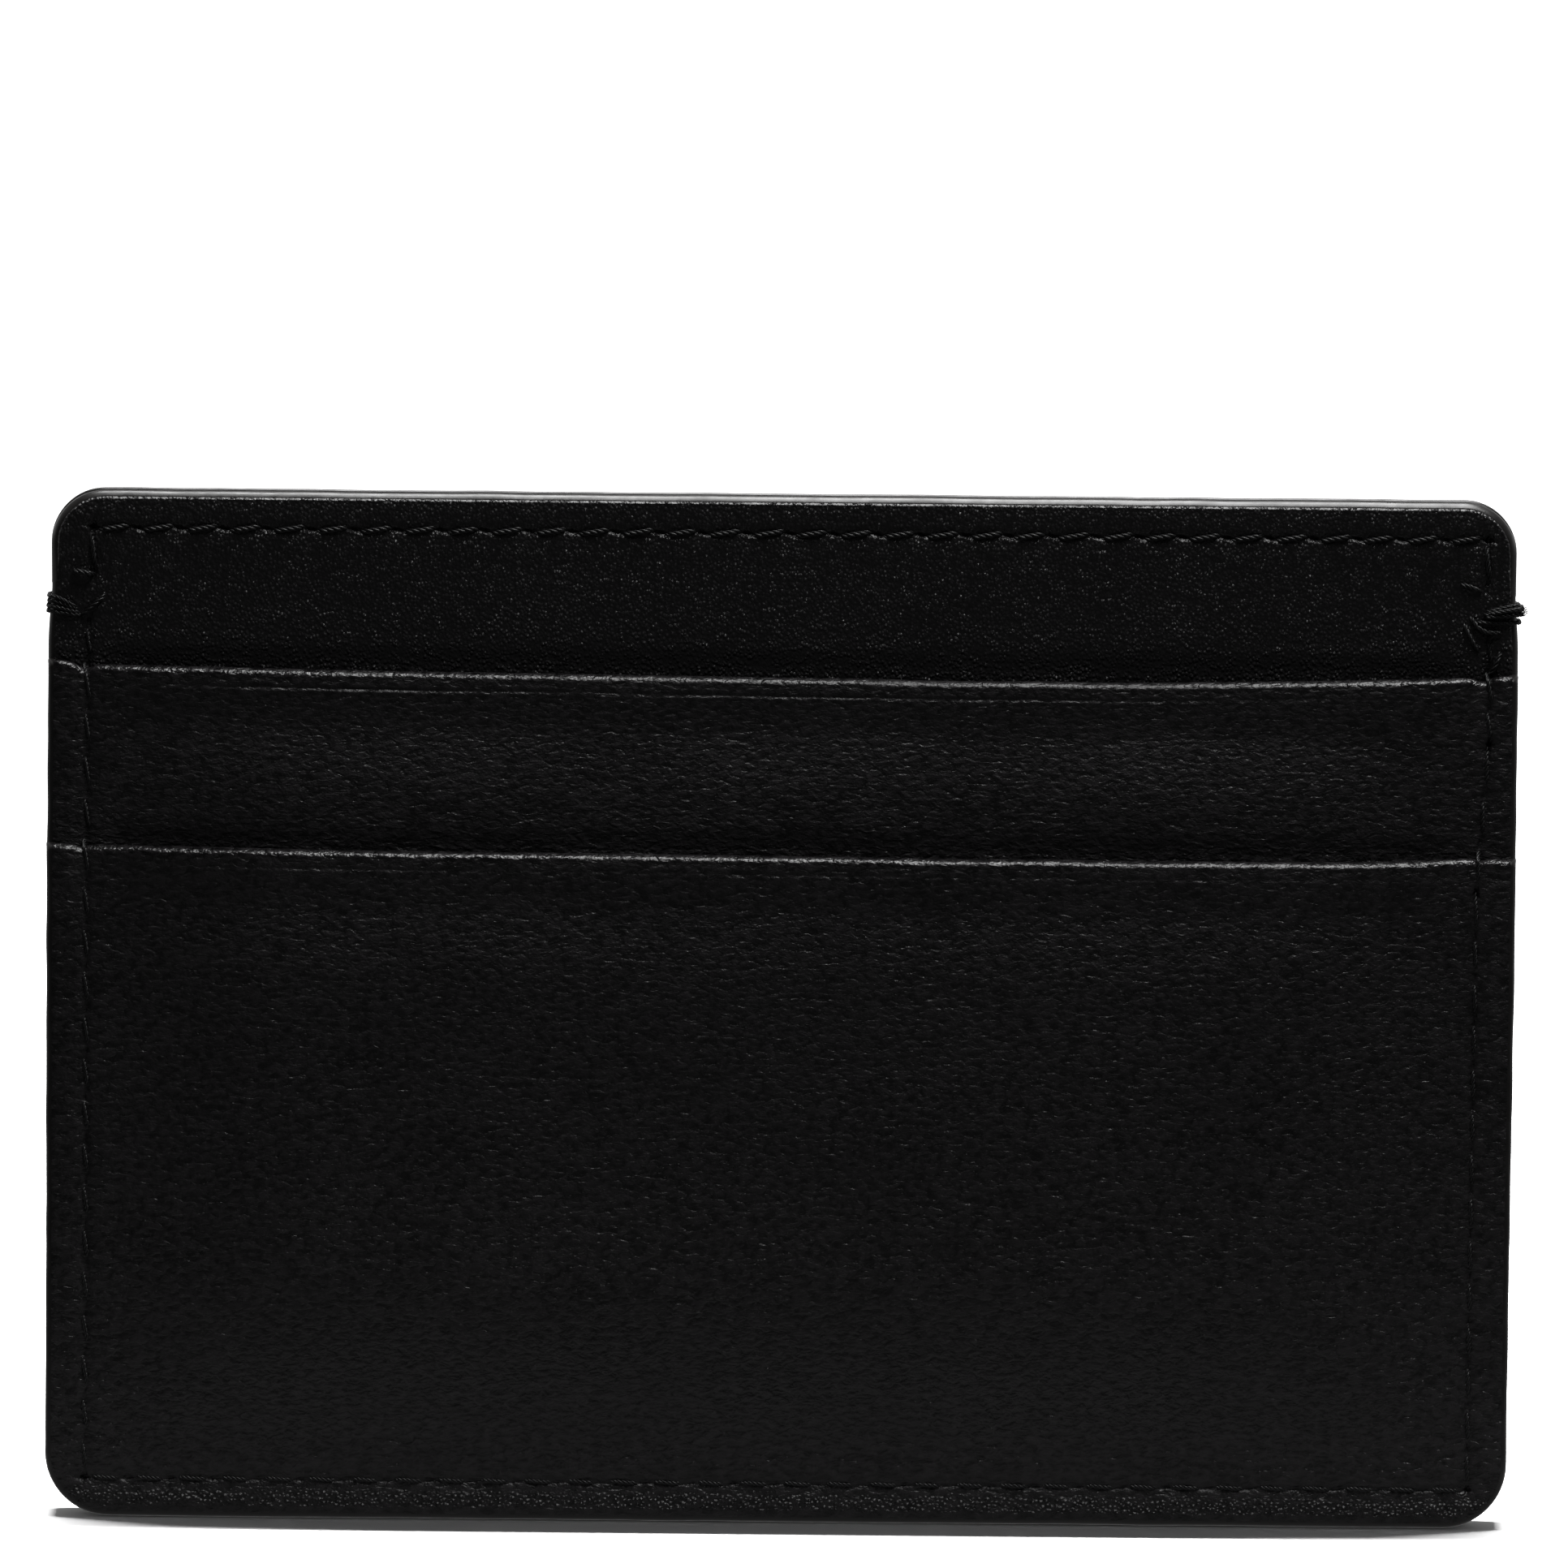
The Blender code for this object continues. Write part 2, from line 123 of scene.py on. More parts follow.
# The body's leather rounds over towards its edge. The lips' leather is bevelled: how high, and how steeply.
RIM_DEPTH, RIM_WIDTH = 0.22, 0.9
BEVEL, BEVEL_SLOPE = 0.11, 1.15

# A pocket's mouth: how high its rounded edge is, and how much of the thickness that takes.
LIP_ROUND = 0.44
LIP_DEPTH = 0.85
LIP_STEPS = 10


class Ply:
    """One sheet: its outer and inner faces, how far it moves in at the seams, and its mouth."""

    def __init__(self, node, outward, squeeze, mouth=None):
        low_corner, high_corner = span(node)
        self.outward = outward
        self.outer = low_corner[1] if outward < 0 else high_corner[1]
        self.inner = high_corner[1] if outward < 0 else low_corner[1]
        self.squeeze = squeeze
        self.mouth = mouth


# A card slot's mouth leans in by lean, hangs by sag at lowest_x, rises to its left and right ends, dips where
# the side seams pull it down, and has a line pressed in below it as strong as crease.
Mouth = namedtuple("Mouth", "height lean sag lowest_x rises dip crease")
UPPER = Mouth(UPPER_MOUTH, lean=0.62, sag=0.54, lowest_x=19.0, rises=(0.38, 0.14), dip=0.30, crease=0.75)
LOW = Mouth(LOWER_MOUTH, lean=0.45, sag=0.34, lowest_x=37.0, rises=(0.10, -0.12), dip=0.15, crease=0.35)
REAR = Ply("rear_panel", 1, 0.25)
REAR_CLOTH = Ply("rear_lining", 1, 0.25)
FRONT_CLOTH = Ply("front_lining", -1, 0.25)
BACKING = Ply("front_backing", -1, 0.25)
FACE = Ply("upper_pocket_face", -1, 0.85, UPPER)
LOWER = Ply("lower_pocket", -1, 1.45, LOW)


# ---- fields over the sheets

def smooth(t):
    """0 below 0 and 1 above 1, with an even turn between."""
    t = np.clip(t, 0.0, 1.0)
    return t * t * (3 - 2 * t)


LATTICE = np.random.default_rng(7).random((256, 256)) * 2 - 1


def noise(x, z, width, height, layer=0):
    """Smooth random values between -1 and 1, of a given grain size."""
    u = np.asarray(x, float) / width + 31.7 * layer + 97.0
    v = np.asarray(z, float) / height + 17.3 * layer + 53.0
    i, j = np.floor(u).astype(int), np.floor(v).astype(int)
    s, t = u - i, v - j
    s, t = s * s * (3 - 2 * s), t * t * (3 - 2 * t)
    a, b = LATTICE[i % 256, j % 256], LATTICE[(i + 1) % 256, j % 256]
    c, d = LATTICE[i % 256, (j + 1) % 256], LATTICE[(i + 1) % 256, (j + 1) % 256]
    return (a * (1 - s) + b * s) * (1 - t) + (c * (1 - s) + d * s) * t


def seam_x(z, side):
    """How far out a side seam runs at a height. The right one drifts outwards above the lower mouth."""
    drift = SEAM_DRIFT * np.clip((z - DRIFT_LOW) / (DRIFT_HIGH - DRIFT_LOW), 0.0, 1.0)
    return SEAM_X + (drift if side > 0 else 0.0)


def squeeze(x, z):
    """1 at the seam and outside it, falling to 0 in the middle of the pockets."""
    side, up, blend = SEAM_X - np.abs(x), z - SEAM_LOW, 3.0
    inside = -blend * np.log(np.exp(-side / blend) + np.exp(-up / blend))
    closed = smooth(1 - inside / SQUEEZE_REACH)
    return closed * (1 - 0.8 * smooth((z - TACK_Z - 0.5) / 6.0))


def drop(ply, x):
    """How far a mouth's edge hangs below its ends at the seams."""
    mouth = ply.mouth
    left = np.clip((mouth.lowest_x - x) / (mouth.lowest_x + SEAM_X), 0.0, 1.0) ** 1.3
    right = np.clip((x - mouth.lowest_x) / (SEAM_X - mouth.lowest_x), 0.0, 1.0) ** 2.0
    hang = mouth.sag * (1 - left - right) + 0.04 * noise(x, 0 * x, 6.0, 1.0, 3)
    outside = np.clip((np.abs(x) - SEAM_X) / (SHEET_HALF - SEAM_X), 0.0, 1.0)
    rise = np.where(x < 0, mouth.rises[0], mouth.rises[1]) * outside
    pulled = mouth.dip * bell(np.abs(x) - SEAM_X - 0.25, 0.55)
    return np.where(np.abs(x) < SEAM_X, hang, 0.0) - rise + pulled


def settle(ply, x, z):
    """How far a sheet has moved towards the middle of the stack, along y."""
    closed = squeeze(x, z)
    inward = ply.squeeze * closed
    if ply.mouth is not None:
        near = smooth((z - ply.mouth.height + LEAN_HEIGHT) / LEAN_HEIGHT)
        inward = inward + ply.mouth.lean * near * (1 - closed)
    wave = 0.10 * noise(x, z, 23.0, 15.0, 1) + 0.05 * noise(x, z, 9.0, 6.0, 2)
    return -ply.outward * inward + ply.outward * wave * (1 - closed)


def edge_distance(x, z):
    """How far in from the holder's outline a point is."""
    across = HALF_WIDTH - np.abs(x)
    up = np.minimum(z, TOP - z)
    radius = np.where(z < TOP / 2, BOTTOM_CORNER, TOP_CORNER)
    in_corner = (across < radius) & (up < radius)
    round_edge = radius - np.hypot(radius - across, radius - up)
    return np.where(in_corner, round_edge, np.minimum(across, up))


class Leg:
    """A straight run of stitches: its needle holes, and which way the stitches lean from hole to hole."""

    def __init__(self, start, end, lean, ridge=0.0, slit=0.14):
        count = max(1, round(math.dist(start, end) / STITCH_PITCH))
        self.holes = [tuple(np.array(start) + np.subtract(end, start) * k / count) for k in range(count + 1)]
        self.lean = lean
        self.ridge = ridge
        self.slit = slit
        self.along = np.subtract(end, start) / math.dist(start, end)
        self.across = np.array([-self.along[1], self.along[0]])


def body_seam():
    """The seam up both sides and along the bottom."""
    left, right = -SEAM_X, SEAM_X
    out = seam_x(SEAM_HIGH, 1)
    return [
        Leg((left, SEAM_LOW), (left, SEAM_HIGH), 0.26),
        Leg((left, SEAM_LOW), (right, SEAM_LOW), -0.12),
        Leg((right, SEAM_LOW), (right, DRIFT_LOW), 0.10),
        Leg((right, DRIFT_LOW), (out, DRIFT_HIGH), 0.16),
        Leg((out, DRIFT_HIGH), (out, SEAM_HIGH), 0.22),
    ]


def lip_seam():
    """The seam round the centre pocket's mouth, above the tacks."""
    left, right = -SEAM_X + 0.1, seam_x(LIP_SEAM_HIGH, 1)
    return [
        Leg((left, LIP_SEAM_LOW), (left, LIP_SEAM_HIGH), 0.20),
        Leg((left, LIP_SEAM_HIGH), (right, LIP_SEAM_HIGH), 0.24, ridge=0.04, slit=0.22),
        Leg((right, LIP_SEAM_LOW), (right, LIP_SEAM_HIGH), 0.20),
    ]


BODY_SEAM = body_seam()
LIP_SEAM = lip_seam()


def bell(distance, width):
    """1 at no distance, falling away over a width."""
    return np.exp(-((distance / width) ** 2))


def leg_distance(x, z, leg):
    """The distance to a run of stitches."""
    (ax, az), (bx, bz) = leg.holes[0], leg.holes[-1]
    dx, dz = bx - ax, bz - az
    t = np.clip(((x - ax) * dx + (z - az) * dz) / (dx * dx + dz * dz), 0.0, 1.0)
    return np.hypot(x - ax - t * dx, z - az - t * dz)


def slit_relief(x, z, hole, leg):
    """A needle hole pulled into a slanted slit, with the leather raised along its lower side."""
    dx, dz = x - hole[0], z - hole[1]
    along = dx * leg.along[0] + dz * leg.along[1]
    across = dx * leg.across[0] + dz * leg.across[1] + leg.lean * along
    slit = -leg.slit * bell(along, SLIT_LENGTH) * bell(across, SLIT_WIDTH)
    ridge = leg.ridge * bell(along, 0.85) * bell(across + 0.28, 0.17)
    return slit + ridge


def seam_relief(x, z):
    """The outer face near its stitching: a shallow channel with a slit at each needle hole."""
    height = np.zeros(np.shape(x))
    for leg in BODY_SEAM + LIP_SEAM:
        distance = leg_distance(x, z, leg)
        height -= CHANNEL_DEPTH * bell(distance, CHANNEL_WIDTH)
        height += SWELLING * bell(distance - SWELLING_AT, SWELLING_WIDTH)
        for hole in leg.holes:
            near = (np.abs(x - hole[0]) < 1.5) & (np.abs(z - hole[1]) < 1.5)
            if near.any():
                height[near] += slit_relief(x[near], z[near], hole, leg)
    return height


def crease_relief(ply, x, z):
    """The line pressed in along a mouth, and how the pocket bulges there."""
    if ply.mouth is None:
        return 0.0
    below = ply.mouth.height - z
    depth = CREASE_BELOW + 0.04 * noise(x, 0 * x, 5.0, 1.0, 5)
    uneven = 0.7 + 0.5 * noise(x, 0 * x, 0.5, 1.0, 6) + 0.5 * noise(x, 0 * x, 9.0, 1.0, 7)
    between = ply.mouth.crease * smooth((SEAM_X - 1.5 - np.abs(x)) / 12.0) * np.clip(uneven, 0.0, 1.5)
    line = -CREASE_DEPTH * bell(below - depth, CREASE_WIDTH)
    ridge = RIDGE_HEIGHT * bell(below - depth - 0.22, RIDGE_WIDTH)
    belly = BELLY * smooth((BELLY_LOW - below) / BELLY_RISE) * smooth((SEAM_X - np.abs(x)) / 5.0)
    return (line + ridge) * between + belly


def tuck_relief(ply, x, z):
    """How the leather behind a mouth curls in as it goes down into the slot."""
    mouth = {BACKING: UPPER, FACE: LOW}.get(ply)
    if mouth is None:
        return 0.0
    above = z - mouth.height
    return -TUCK_DEPTH * smooth((TUCK_HEIGHT - above) / TUCK_HEIGHT) * smooth((SEAM_X - np.abs(x)) / 3.0)


def relief(ply, x, z):
    """How far a sheet's outer face stands out from where it would lie flat."""
    height = seam_relief(x, z) + crease_relief(ply, x, z) + tuck_relief(ply, x, z)
    rim = edge_distance(x, z)
    on_lip = smooth((z - LIP_LINE) / 1.5)
    height = height - RIM_DEPTH * smooth((RIM_WIDTH - rim) / RIM_WIDTH) ** 2 * (1 - on_lip)
    height = height - BEVEL_SLOPE * np.clip(BEVEL + BEAD_DEPTH - rim, 0.0, BEVEL) * on_lip
    height = height + 0.012 * noise(x, z, 2.2, 0.9, 8) + 0.008 * noise(x, z, 0.9, 0.5, 9)
    margin = smooth((2.6 - rim) / 0.8) * (1 - on_lip)
    height = height + margin * (0.040 * noise(x, z, 0.9, 0.7, 10) + 0.035 * noise(x, z, 0.5, 0.45, 11))
    if ply.mouth is not None:
        below = ply.mouth.height - z
        height = height + 0.02 * noise(x, z, 0.7, 0.5, 12) * bell(below, 0.9)
    return height


def outer_y(ply, x, z):
    """The y of a sheet's outer face at a point, without its relief."""
    return float(ply.outer + settle(ply, np.array(float(x)), np.array(float(z))))


def inner_y(ply, x, z):
    """The y of a sheet's inner face at a point."""
    return float(ply.inner + settle(ply, np.array(float(x)), np.array(float(z))))


def front_y(x, z):
    """The y of whatever sheet is seen from the front at a point."""
    for ply in (LOWER, FACE):
        if z < ply.mouth.height - float(drop(ply, np.array(float(x)))):
            return outer_y(ply, x, z)
    return outer_y(BACKING, x, z)


def widen(x, z):
    """The holder is a little wider just below the tacks, where it is fullest."""
    full = smooth((64.0 - z) / 4.0) * (1 - 0.75 * smooth((48.0 - z) / 40.0))
    return x * (1 + (0.08 + 0.20 * full) / HALF_WIDTH)


# ---- meshes

def add_mesh(name, points, faces, mat, sharp=40.0):
    """Makes an object from points in millimetres, with its faces turned outwards."""
    points = np.array(points, float)
    points[:, 0] = widen(points[:, 0], points[:, 2])
    mesh = bpy.data.meshes.new(name)
    mesh.from_pydata((points * MM).tolist(), [], [list(f) for f in faces])
    bm = bmesh.new()
    bm.from_mesh(mesh)
    bmesh.ops.recalc_face_normals(bm, faces=bm.faces)
    bm.to_mesh(mesh)
    bm.free()
    mesh.shade_smooth()
    mesh.set_sharp_from_angle(angle=math.radians(sharp))
    mesh.materials.append(mat)
    obj = bpy.data.objects.new(name, mesh)
    bpy.context.scene.collection.objects.link(obj)
    return obj


def grid_faces(rows, columns, closed_rows, closed_columns=False):
    """Quads between the points of a grid stored row by row."""
    index = np.arange(rows * columns).reshape(rows, columns)
    if closed_rows:
        index = np.vstack([index, index[:1]])
    if closed_columns:
        index = np.hstack([index, index[:, :1]])
    corners = (index[:-1, :-1], index[:-1, 1:], index[1:, 1:], index[1:, :-1])
    return np.stack(corners, axis=-1).reshape(-1, 4).tolist()


def sleeve_faces(rows, columns):
    """The faces of a grid whose last row meets its first, with both ends closed."""
    first = [r * columns for r in range(rows)]
    last = [i + columns - 1 for i in reversed(first)]
    return grid_faces(rows, columns, closed_rows=True) + [first, last]


def spaced(stops):
    """Values from stop to stop, where stops are (value, spacing up to the next one)."""
    values = []
    for (low, step), (high, _) in zip(stops, stops[1:]):
        count = max(1, round((high - low) / step))
        values += [low + (high - low) * k / count for k in range(count)]
    values.append(stops[-1][0])
    return np.array(values)


def corner_rows(radius, step):
    """Depths below a corner's straight side, closer together where the outline runs flat."""
    count = max(4, round(math.pi / 2 * radius / step))
    return [radius - radius * math.cos(math.pi / 2 * k / count) for k in range(count)]


def half_width_at(z, low, high, round_low, round_high):
    """Half the width of a sheet with round corners at a height."""
    cut = np.zeros(np.shape(z))
    if round_low:
        up = np.clip(BOTTOM_BEND - (z - low), 0.0, BOTTOM_BEND)
        cut = cut + BOTTOM_BEND - np.sqrt(BOTTOM_BEND ** 2 - up ** 2)
    if round_high:
        down = np.clip(TOP_BEND - (high - z), 0.0, TOP_BEND)
        cut = cut + TOP_BEND - np.sqrt(np.maximum(TOP_BEND ** 2 - down ** 2, 0.0))
    return SHEET_HALF - cut


def with_fine(values, low, high, step):
    """A list of positions, with close ones put in between two heights or widths."""
    kept = [v for v in values if not low - step / 2 < v < high + step / 2]
    return sorted(kept + list(spaced([(low, step), (high, step)])))


def sheet_columns(step, fine):
    """Positions across a sheet, closest together at the side seams."""
    half = list(spaced([(0.0, step), (SHEET_HALF - 5.5, 0.25), (SHEET_HALF, 0.25)]))
    half = with_fine(half, SHEET_HALF - 0.32, SHEET_HALF, 0.05)
    if fine:
        half = with_fine(half, SEAM_X - 0.5, SEAM_X + 1.3, 0.1)
    half = np.array(half)
    return np.concatenate([-half[:0:-1], half])


def add_sheet(name, ply, rows, mat, step=0.30, low=SHEET_LOW, high=SHEET_HIGH,
              round_low=True, round_high=False, fine=True):
    """A sheet of leather or cloth: its outer face, a rounded or cut top, and a plain inner face."""
    columns = sheet_columns(step, fine)
    heights, depths = list(rows), [0.0] * len(rows)
    back_top = high
    if ply.mouth is not None:
        heights = [z for z in heights if z < high - LIP_ROUND - 0.02]
        depths = [0.0] * len(heights)
        for k in range(LIP_STEPS + 1):
            angle = math.pi / 2 * k / LIP_STEPS
            heights.append(high - LIP_ROUND + LIP_ROUND * math.sin(angle))
            depths.append(LIP_DEPTH * (1 - math.cos(angle)))
        heights.append(high - 0.04)
        depths.append(0.94)
        back_top = high - 0.15
    inner_rows = spaced([(low, 2.0), (back_top, 2.0)])[::-1]
    heights += list(inner_rows)
    depths += [1.0] * len(inner_rows)
    heights, depths = np.array(heights), np.array(depths)

    wide = half_width_at(heights, low, high, round_low, round_high) / SHEET_HALF
    x = columns[None, :] * wide[:, None]
    z = np.repeat(heights[:, None], len(columns), axis=1)
    inner = ply.inner + settle(ply, x, z)
    outer = ply.outer + settle(ply, x, z) + ply.outward * relief(ply, x, z)
    y = outer * (1 - depths[:, None]) + inner * depths[:, None]
    if ply.mouth is not None:
        z = z - drop(ply, x) * smooth((z - ply.mouth.height + 12.0) / 12.0)
    points = np.stack([x, y, z], axis=-1).reshape(-1, 3)
    return add_mesh(name, points, sleeve_faces(len(heights), len(columns)), mat)


# ---- materials

class Shading:
    """A material's or world's nodes, with short ways to add the ones used here."""

    def __init__(self, tree):
        self.nodes = tree.nodes
        self.link = tree.links.new

    def fill(self, node, **inputs):
        """Sets or links a node's inputs, named with _ for a space."""
        for name, value in inputs.items():
            socket = node.inputs[name.replace("_", " ")]
            if isinstance(value, bpy.types.NodeSocket):
                self.link(value, socket)
            else:
                socket.default_value = value
        return node.outputs

    def add(self, kind, **inputs):
        return self.fill(self.nodes.new("ShaderNode" + kind), **inputs)

    def coordinates(self, scale):
        """Object coordinates in millimetres, stretched by a scale."""
        where = self.add("TexCoord")["Object"]
        return self.add("Mapping", Vector=where, Scale=tuple(s / MM for s in scale))["Vector"]

    def axes(self, kind="Object"):
        """Coordinates as X, Y and Z, in metres."""
        return self.add("SeparateXYZ", Vector=self.add("TexCoord")[kind])

    def noise(self, vector, scale, detail=3.0, distortion=0.0):
        return self.add("TexNoise", Vector=vector, Scale=scale, Detail=detail, Distortion=distortion)["Fac"]

    def cells(self, vector):
        return self.add("TexVoronoi", Vector=vector, Scale=1.0)["Distance"]

    def bands(self, vector, direction, scale):
        node = self.nodes.new("ShaderNodeTexWave")
        node.bands_direction = direction
        return self.fill(node, Vector=vector, Scale=scale)["Fac"]

    def ramp(self, value, low, high, out_low, out_high):
        """Maps a value's range to another."""
        ends = {"From_Min": low, "From_Max": high, "To_Min": out_low, "To_Max": out_high}
        return self.add("MapRange", Value=value, **ends)["Result"]

    def bump(self, height, distance, strength=1.0, **below):
        """A normal bent by a height, over a distance in millimetres."""
        return self.add("Bump", Height=height, Distance=distance * MM, Strength=strength, **below)["Normal"]

    def tint(self, value, dark, light):
        """A colour that follows a value from dark to light."""
        node = self.nodes.new("ShaderNodeMix")
        node.data_type = "RGBA"
        return self.fill(node, Factor=value, A=(*dark, 1.0), B=(*light, 1.0))["Result"]

    def math(self, operation, *values):
        node = self.nodes.new("ShaderNodeMath")
        node.operation = operation
        for socket, value in zip(node.inputs, values):
            if isinstance(value, bpy.types.NodeSocket):
                self.link(value, socket)
            else:
                socket.default_value = value
        return node.outputs["Value"]


class Surface(Shading):
    """A material with one Principled shader."""

    def __init__(self, name, colour, roughness, specular):
        self.material = bpy.data.materials.new(name)
        self.material.use_nodes = True
        super().__init__(self.material.node_tree)
        self.shader = self.nodes["Principled BSDF"]
        self.finish(Base_Color=(*colour, 1.0), Roughness=roughness, Specular_IOR_Level=specular)

    def finish(self, **inputs):
        """Sets or links the shader's inputs, and gives the material."""
        self.fill(self.shader, **inputs)
        return self.material


# How rough the pocket leather is, and how much smoother its mouth is rubbed.
SATIN_LOW, SATIN_HIGH, RUBBED = 0.40, 0.48, 0.18
# The pocket leather is crumpled between these heights, fading in and out over a short way.
CRUMPLED_LOW, CRUMPLED_HIGH = (0.7, 1.0), (1.7, 2.2)


def smooth_leather(name, mouth=None):
    """Pocket leather: fine wrinkles that run across it, on a satin finish, with its mouth rubbed smoother."""
    look = Surface(name, (0.0018, 0.0017, 0.0018), 0.50, 0.22)
    wrinkles = look.noise(look.coordinates((1.5, 1.5, 2.9)), 1.0, 2.0, 0.5)
    pores = look.noise(look.coordinates((4.5, 4.5, 4.0)), 1.0, 2.0)
    broad = look.noise(look.coordinates((1.0, 1.0, 1.6)), 0.10, 3.0)
    grains = look.cells(look.coordinates((3.2, 3.2, 4.0)))
    height = look.axes()["Z"]
    above = look.ramp(height, CRUMPLED_LOW[0] * MM, CRUMPLED_LOW[1] * MM, 0.0, 1.0)
    below = look.ramp(height, CRUMPLED_HIGH[0] * MM, CRUMPLED_HIGH[1] * MM, 1.0, 0.0)
    crumpled = look.math("MINIMUM", above, below)
    crumpled = look.math("MULTIPLY", crumpled, look.ramp(grains, 0.0, 0.7, 1.0, 0.0))
    normal = look.bump(wrinkles, 0.15)
    normal = look.bump(pores, 0.05, Normal=normal)
    normal = look.bump(crumpled, 0.16, Normal=normal)
    rough = look.ramp(broad, 0.3, 0.7, SATIN_LOW, SATIN_HIGH)
    if mouth is not None:
        rubbed = look.ramp(height, (mouth - 0.8) * MM, (mouth - 0.4) * MM, 0.0, RUBBED)
        rough = look.math("SUBTRACT", rough, rubbed)
    tone = look.ramp(wrinkles, 0.36, 0.64, 0.0, 1.0)
    colour = look.tint(tone, (0.0006, 0.0005, 0.0006), (0.0095, 0.0087, 0.0094))
    return look.finish(Base_Color=colour, Roughness=rough, Normal=normal)


def pin_grain_leather():
    """Backing leather: a grain of small round pebbles that catch the light."""
    look = Surface("pin_grain_black_leather", (0.0022, 0.0020, 0.0022), 0.40, 0.24)
    pebbles = look.cells(look.coordinates((4.4, 4.4, 3.8)))
    small = look.noise(look.coordinates((4.0, 4.0, 3.0)), 1.0, 2.0)
    broad = look.noise(look.coordinates((1.0, 1.0, 1.0)), 0.15, 3.0)
    uneven = look.noise(look.coordinates((1.6, 1.6, 1.6)), 1.0, 2.0)
    raised = look.ramp(pebbles, 0.0, 0.7, 1.0, 0.0)
    raised = look.math("MULTIPLY", raised, look.ramp(uneven, 0.35, 0.65, 0.3, 1.0))
    normal = look.bump(small, 0.05, Normal=look.bump(raised, 0.11))
    rough = look.ramp(broad, 0.3, 0.7, 0.32, 0.42)
    colour = look.tint(raised, (0.0024, 0.0022, 0.0024), (0.0120, 0.0112, 0.0120))
    return look.finish(Base_Color=colour, Roughness=rough, Normal=normal)


def lining_cloth():
    """Thin woven lining."""
    look = Surface("black_lining_cloth", (0.007, 0.0066, 0.007), 0.85, 0.20)
    vector = look.coordinates((1.0, 1.0, 1.0))
    weave = look.math("MULTIPLY", look.bands(vector, "X", 1.4), look.bands(vector, "Z", 1.4))
    colour = look.tint(weave, (0.005, 0.0048, 0.005), (0.010, 0.0095, 0.010))
    return look.finish(Base_Color=colour, Normal=look.bump(weave, 0.05, 0.6))


def edge_paint():
    """The bead of paint on the cut edges: smooth, slightly uneven, a little browner than the leather."""
    look = Surface("black_edge_paint", (0.008, 0.0075, 0.0074), 0.40, 0.24)
    uneven = look.noise(look.coordinates((1.0, 1.0, 1.0)), 0.9, 3.0)
    rough = look.ramp(uneven, 0.3, 0.7, 0.26, 0.42)
    colour = look.tint(uneven, (0.0055, 0.0051, 0.0049), (0.0095, 0.0089, 0.0087))
    return look.finish(Base_Color=colour, Roughness=rough, Normal=look.bump(uneven, 0.06, 0.35))


def sewing_thread():
    """Twisted polyester: fine fibres along each strand, with a slight sheen."""
    look = Surface("black_sewing_thread", (0.004, 0.004, 0.0042), 0.46, 0.24)
    fibres = look.noise(look.coordinates((1.0, 1.0, 1.0)), 7.0, 3.0, 1.5)
    colour = look.tint(fibres, (0.0030, 0.0030, 0.0032), (0.0060, 0.0060, 0.0063))
    return look.finish(Base_Color=colour, Normal=look.bump(fibres, 0.03, 0.5))


BACK_LEATHER = smooth_leather("smooth_black_leather_back")
UPPER_LEATHER = smooth_leather("smooth_black_leather_upper", UPPER_MOUTH)
LOWER_LEATHER = smooth_leather("smooth_black_leather_lower", LOWER_MOUTH)
PIN_GRAIN = pin_grain_leather()
CLOTH = lining_cloth()
PAINT = edge_paint()
THREAD = sewing_thread()


# ---- sheets

HOLDER, FRONT_LIP, REAR_LIP = "holder", "front_lip", "rear_lip"


def finish_piece(obj, nodes, lip=None):
    """Hides the CAD nodes a piece stands in for, and puts the piece on the holder, or for a lip's piece bakes
    its place into its mesh.
    """
    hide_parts(*nodes)
    if lip is None:
        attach(obj, HOLDER)
    else:
        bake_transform(obj)
    return obj


def round_low_rows(step):
    """Heights over a sheet's bottom corners, and where its sides become straight."""
    return [SHEET_LOW + r for r in corner_rows(BOTTOM_BEND, step)], SHEET_LOW + BOTTOM_BEND


def round_high_rows(step):
    """Heights over a sheet's top corners, and where its sides stop being straight."""
    return [SHEET_HIGH - r for r in corner_rows(TOP_BEND, step)][::-1], SHEET_HIGH - TOP_BEND


